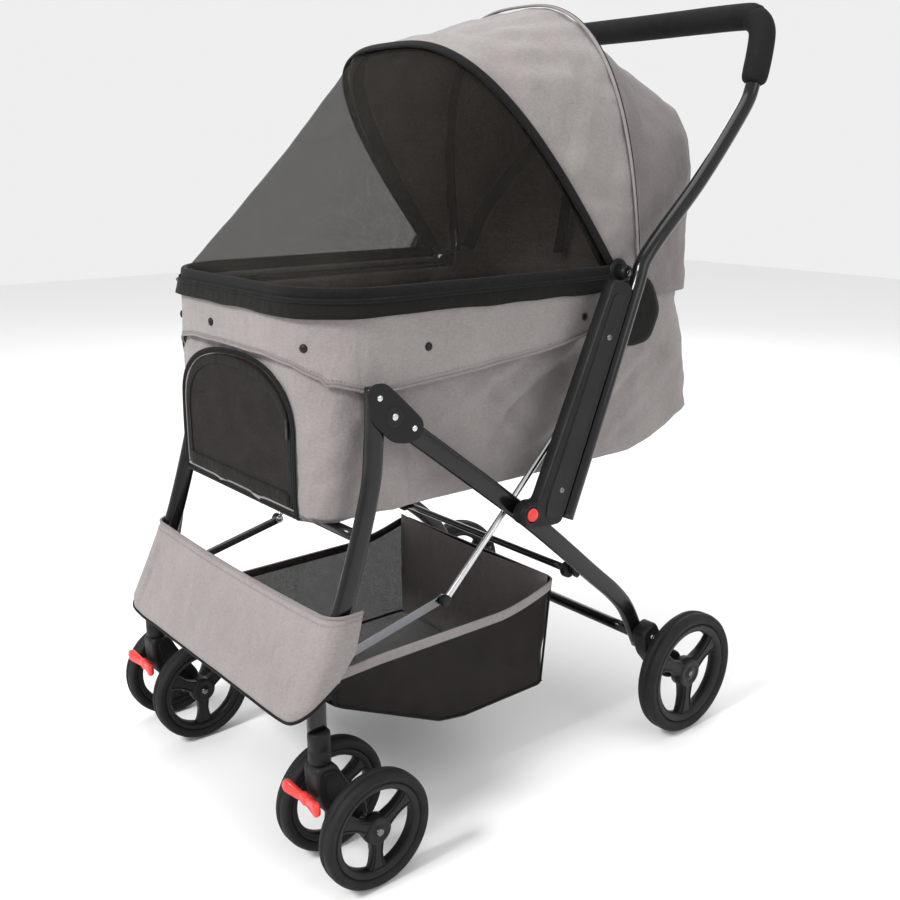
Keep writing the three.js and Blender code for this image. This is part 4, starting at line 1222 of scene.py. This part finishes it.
side_grid = basket_shell()
sag = wrinkled(side_grid, 2.6, 60, 4.4, np.sin(np.linspace(0, math.pi, 22))[:, None])
bag = sheet("basket_mesh_walls", sag, DENSE_MESH, 1.0, inside=(0, -80, 200))
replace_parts(bag, "basket")


ring = side_grid[-1]
floor_grid = []
for t in np.linspace(1, -1, 25):
    row = []
    for y in np.linspace(-306, 35.5, 60):
        row.append([157.5 * t, y, np.interp(y, [-308, -150, -110, 38], [176.4, 101.4, 94.4, 94.4])])
    floor_grid.append(row)
basket_floor = sheet("basket_floor", floor_grid, DENSE_MESH, 1.2)
top_loop = side_grid[0]
band_grid = np.array([top_loop + [0, 0, 1.0 - 12.5 * t] for t in np.linspace(0, 1, 5)])
centre_line = top_loop.mean(0)
out_dir = unit((top_loop - centre_line) * [1, 1, 0])
band_grid = band_grid + out_dir[None] * 1.4
top_band = sheet("top_band", band_grid, GREY, 1.4, inside=(0, -80, 200))
low_pipe = tube("low_pipe", ring + [0, 0, 0.6], 2.0, BINDING, sides=10)


def corner_columns(loop):
    """The columns of a loop nearest its four corners."""
    return [int(np.argmax(loop[:, 0] * a + loop[:, 1] * b)) for a, b in ((1, 1), (1, -1), (-1, 1), (-1, -1))]


corners = [tube("corner", smooth(side_grid[:, index] + out_dir[index] * 0.8, 20), 1.8, BINDING, sides=10)
           for index in corner_columns(top_loop)]
trims = merged("basket_trim_bands", [top_band, low_pipe, *corners])
rear_panel_grid = []
for t in np.linspace(1, 0, 14):
    z_top = 250
    z = 95 + (z_top - 95) * t
    y = 28.4 + 6 * t
    rear_panel_grid.append([[x, y + 1.2 * noise.noise(Vector((x / 50, z / 40, 0))), z + 6.0 * t * (abs(x) / 168) ** 2]
                            for x in np.linspace(-156 - 8 * t, 156 + 8 * t, 40)])
rear_panel = sheet("basket_rear_panel", rear_panel_grid, GREY_DARK, 1.4, inside=(0, -80, 200))

rod_bar = tube("bar", evenly([[-181, 54, 264], [181, 54, 264]], 10), 5, PAINT, sides=20)
knobs = []
for side, sign in SIDES:
    knobs.append(turned("knob", [(0, 187.6), (8.4, 187.4), (10.6, 186), (11, 183.6), (11, 178.4), (9.6, 176.4),
                                 (0, 176)], (0, 54, 264), PLASTIC, segments=40, sign=sign))
rod_piece = merged("basket_rod_round", [rod_bar, *knobs], "rear_frame")
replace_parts(rod_piece, "basket_rod")
for side, sign in SIDES:
    path = evenly(on_side([(52, 263), (74, 277)], sign * 194.3), 10)
    tab = swept("tab", path, oval(18, 12, 24), PLASTIC, up=(1, 0, 0))
    cap = turned("cap", [(0, 200.4), (6, 200.2), (7.2, 199), (7.2, 190), (0, 188.2)], (0, 56, 265.5), SATIN,
                 segments=28, sign=sign)
    hanger = merged(f"basket_hanger_moulded_{side}", [tab, cap], "rear_frame")
    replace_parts(hanger, f"basket_hanger_{side}")

# Apron


def apron_grid():
    """A U-shaped sheet, leaning forwards; its lower edge is cut up in a round at each end."""
    rows = []
    for t in np.linspace(0, 1, 30):
        z = 316 - 116 * t
        front = -347.5 - 47.5 * min(1.0, t / 0.9)
        rear = np.interp(t, [0, 0.55, 1], [-306, -318, -340])
        corner = 22.0
        right = [[220.4, rear], [220.4, front + corner]]
        for step in range(1, 9):
            angle = math.radians(11.25 * step)
            right.append([220.4 - corner + corner * math.cos(angle), front + corner - corner * math.sin(angle)])
        line = evenly(np.array(right + [[-x, y] for x, y in right][::-1]), 171)
        row = []
        for x, y in line:
            scoop = 5.0 * (1 - min(1.0, abs(x) / 205) ** 2) * (1 - t)
            back = np.clip((y - front) / 60, 0, 1)
            lower = (34.0 * back ** 1.2 + 10.0 * np.clip((abs(x) - 170) / 50, 0, 1) ** 2) * t ** 1.5
            row.append([x, y, z - scoop + lower])
        rows.append(row)
    grid = np.array(rows)
    mask = np.sin(np.linspace(0.12, math.pi - 0.12, 30))[:, None] * (np.abs(grid[..., 0]) < 190)
    return wrinkled(grid, 4.0, 52, 2.2, mask)


apron_points = apron_grid()
apron = sheet("apron", apron_points, GREY, 1.6, GREY_BINDING, (0, -100, 300))
apron_top = tube("top_hem", apron_points[0] + [0, 0, 0.4], 1.9, GREY_BINDING, sides=10)
apron_low = tube("low_pipe", apron_points[-1] + [0, 0, -0.4], 1.9, BINDING, sides=10)
top_thread = stitches("thread", apron_points[2] * [1.001, 1.002, 1], GREY_BINDING, 4.5, 2.8, 0.4)
apron_piece = merged("basket_front_apron", [apron, apron_top, apron_low, top_thread], "front_frame")
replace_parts(apron_piece, "apron_panel")

# Every sheet of cloth: its flat width and length, how it is held and by what, and the cut's area unless it's a rectangle

CUTS = [(wall, (0.564, 0.229), "hung", ["rim_wire"], 0.092), (wall_side, (1.42, 0.235), "hung", ["rim_wire"], 0.33),
        (under, (0.34, 0.56), "stretched", ["cabin_side_wall"], 0.18),
        (band, (1.2, 0.105), "hung", ["rim_wire"], None),
        (door, (0.25, 0.157), "stretched", ["cabin_front_wall"], None),
        (hood_screen, (1.18, 0.36), "stretched", ["mesh_edge_binding", "canopy_edge_binding"], 0.204),
        (canopy, (1.05, 0.225), "stretched", ["canopy_edge_binding", "canopy_seam"], 0.133),
        (canopy_rear, (1.05, 0.56), "stretched", ["canopy_seam", "rim_wire"], 0.222),
        (bag, (1.38, 0.158), "hung", ["basket_rod_round", "basket_front_apron"], 0.143),
        (basket_floor, (0.318, 0.36), "hung", ["basket_mesh_walls"], None),
        (rear_panel, (0.33, 0.156), "hung", ["basket_rod_round"], None),
        (apron_piece, (0.56, 0.122), "stretched", ["front_leg_tube_L", "front_leg_tube_R"], None)]
CUTS += [(gusset, (0.092, 0.1), "stretched", ["cabin_collar"], 0.007) for gusset in gussets]

# Blends: cloth that crosses a joint

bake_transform(wall)
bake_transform(door_frame)
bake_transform(wall_side)
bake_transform(hood_screen)
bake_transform(canopy)
for piece in (canopy_rear, hood_tapes):
    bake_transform(piece)
for piece in (bag, basket_floor, trims):
    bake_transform(piece)
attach(rear_panel, "rear_frame")

# Floor

floor = mesh("studio_floor", [[-6000, -6000, -1], [6000, -6000, -1], [6000, 6000, -1], [-6000, 6000, -1]],
             [(0, 1, 2, 3)], Nodes("pale_floor", 0.9).material)
floor.data.materials[0].node_tree.nodes["Principled BSDF"].inputs["Base Color"].default_value = (0.86, 0.86, 0.86, 1)
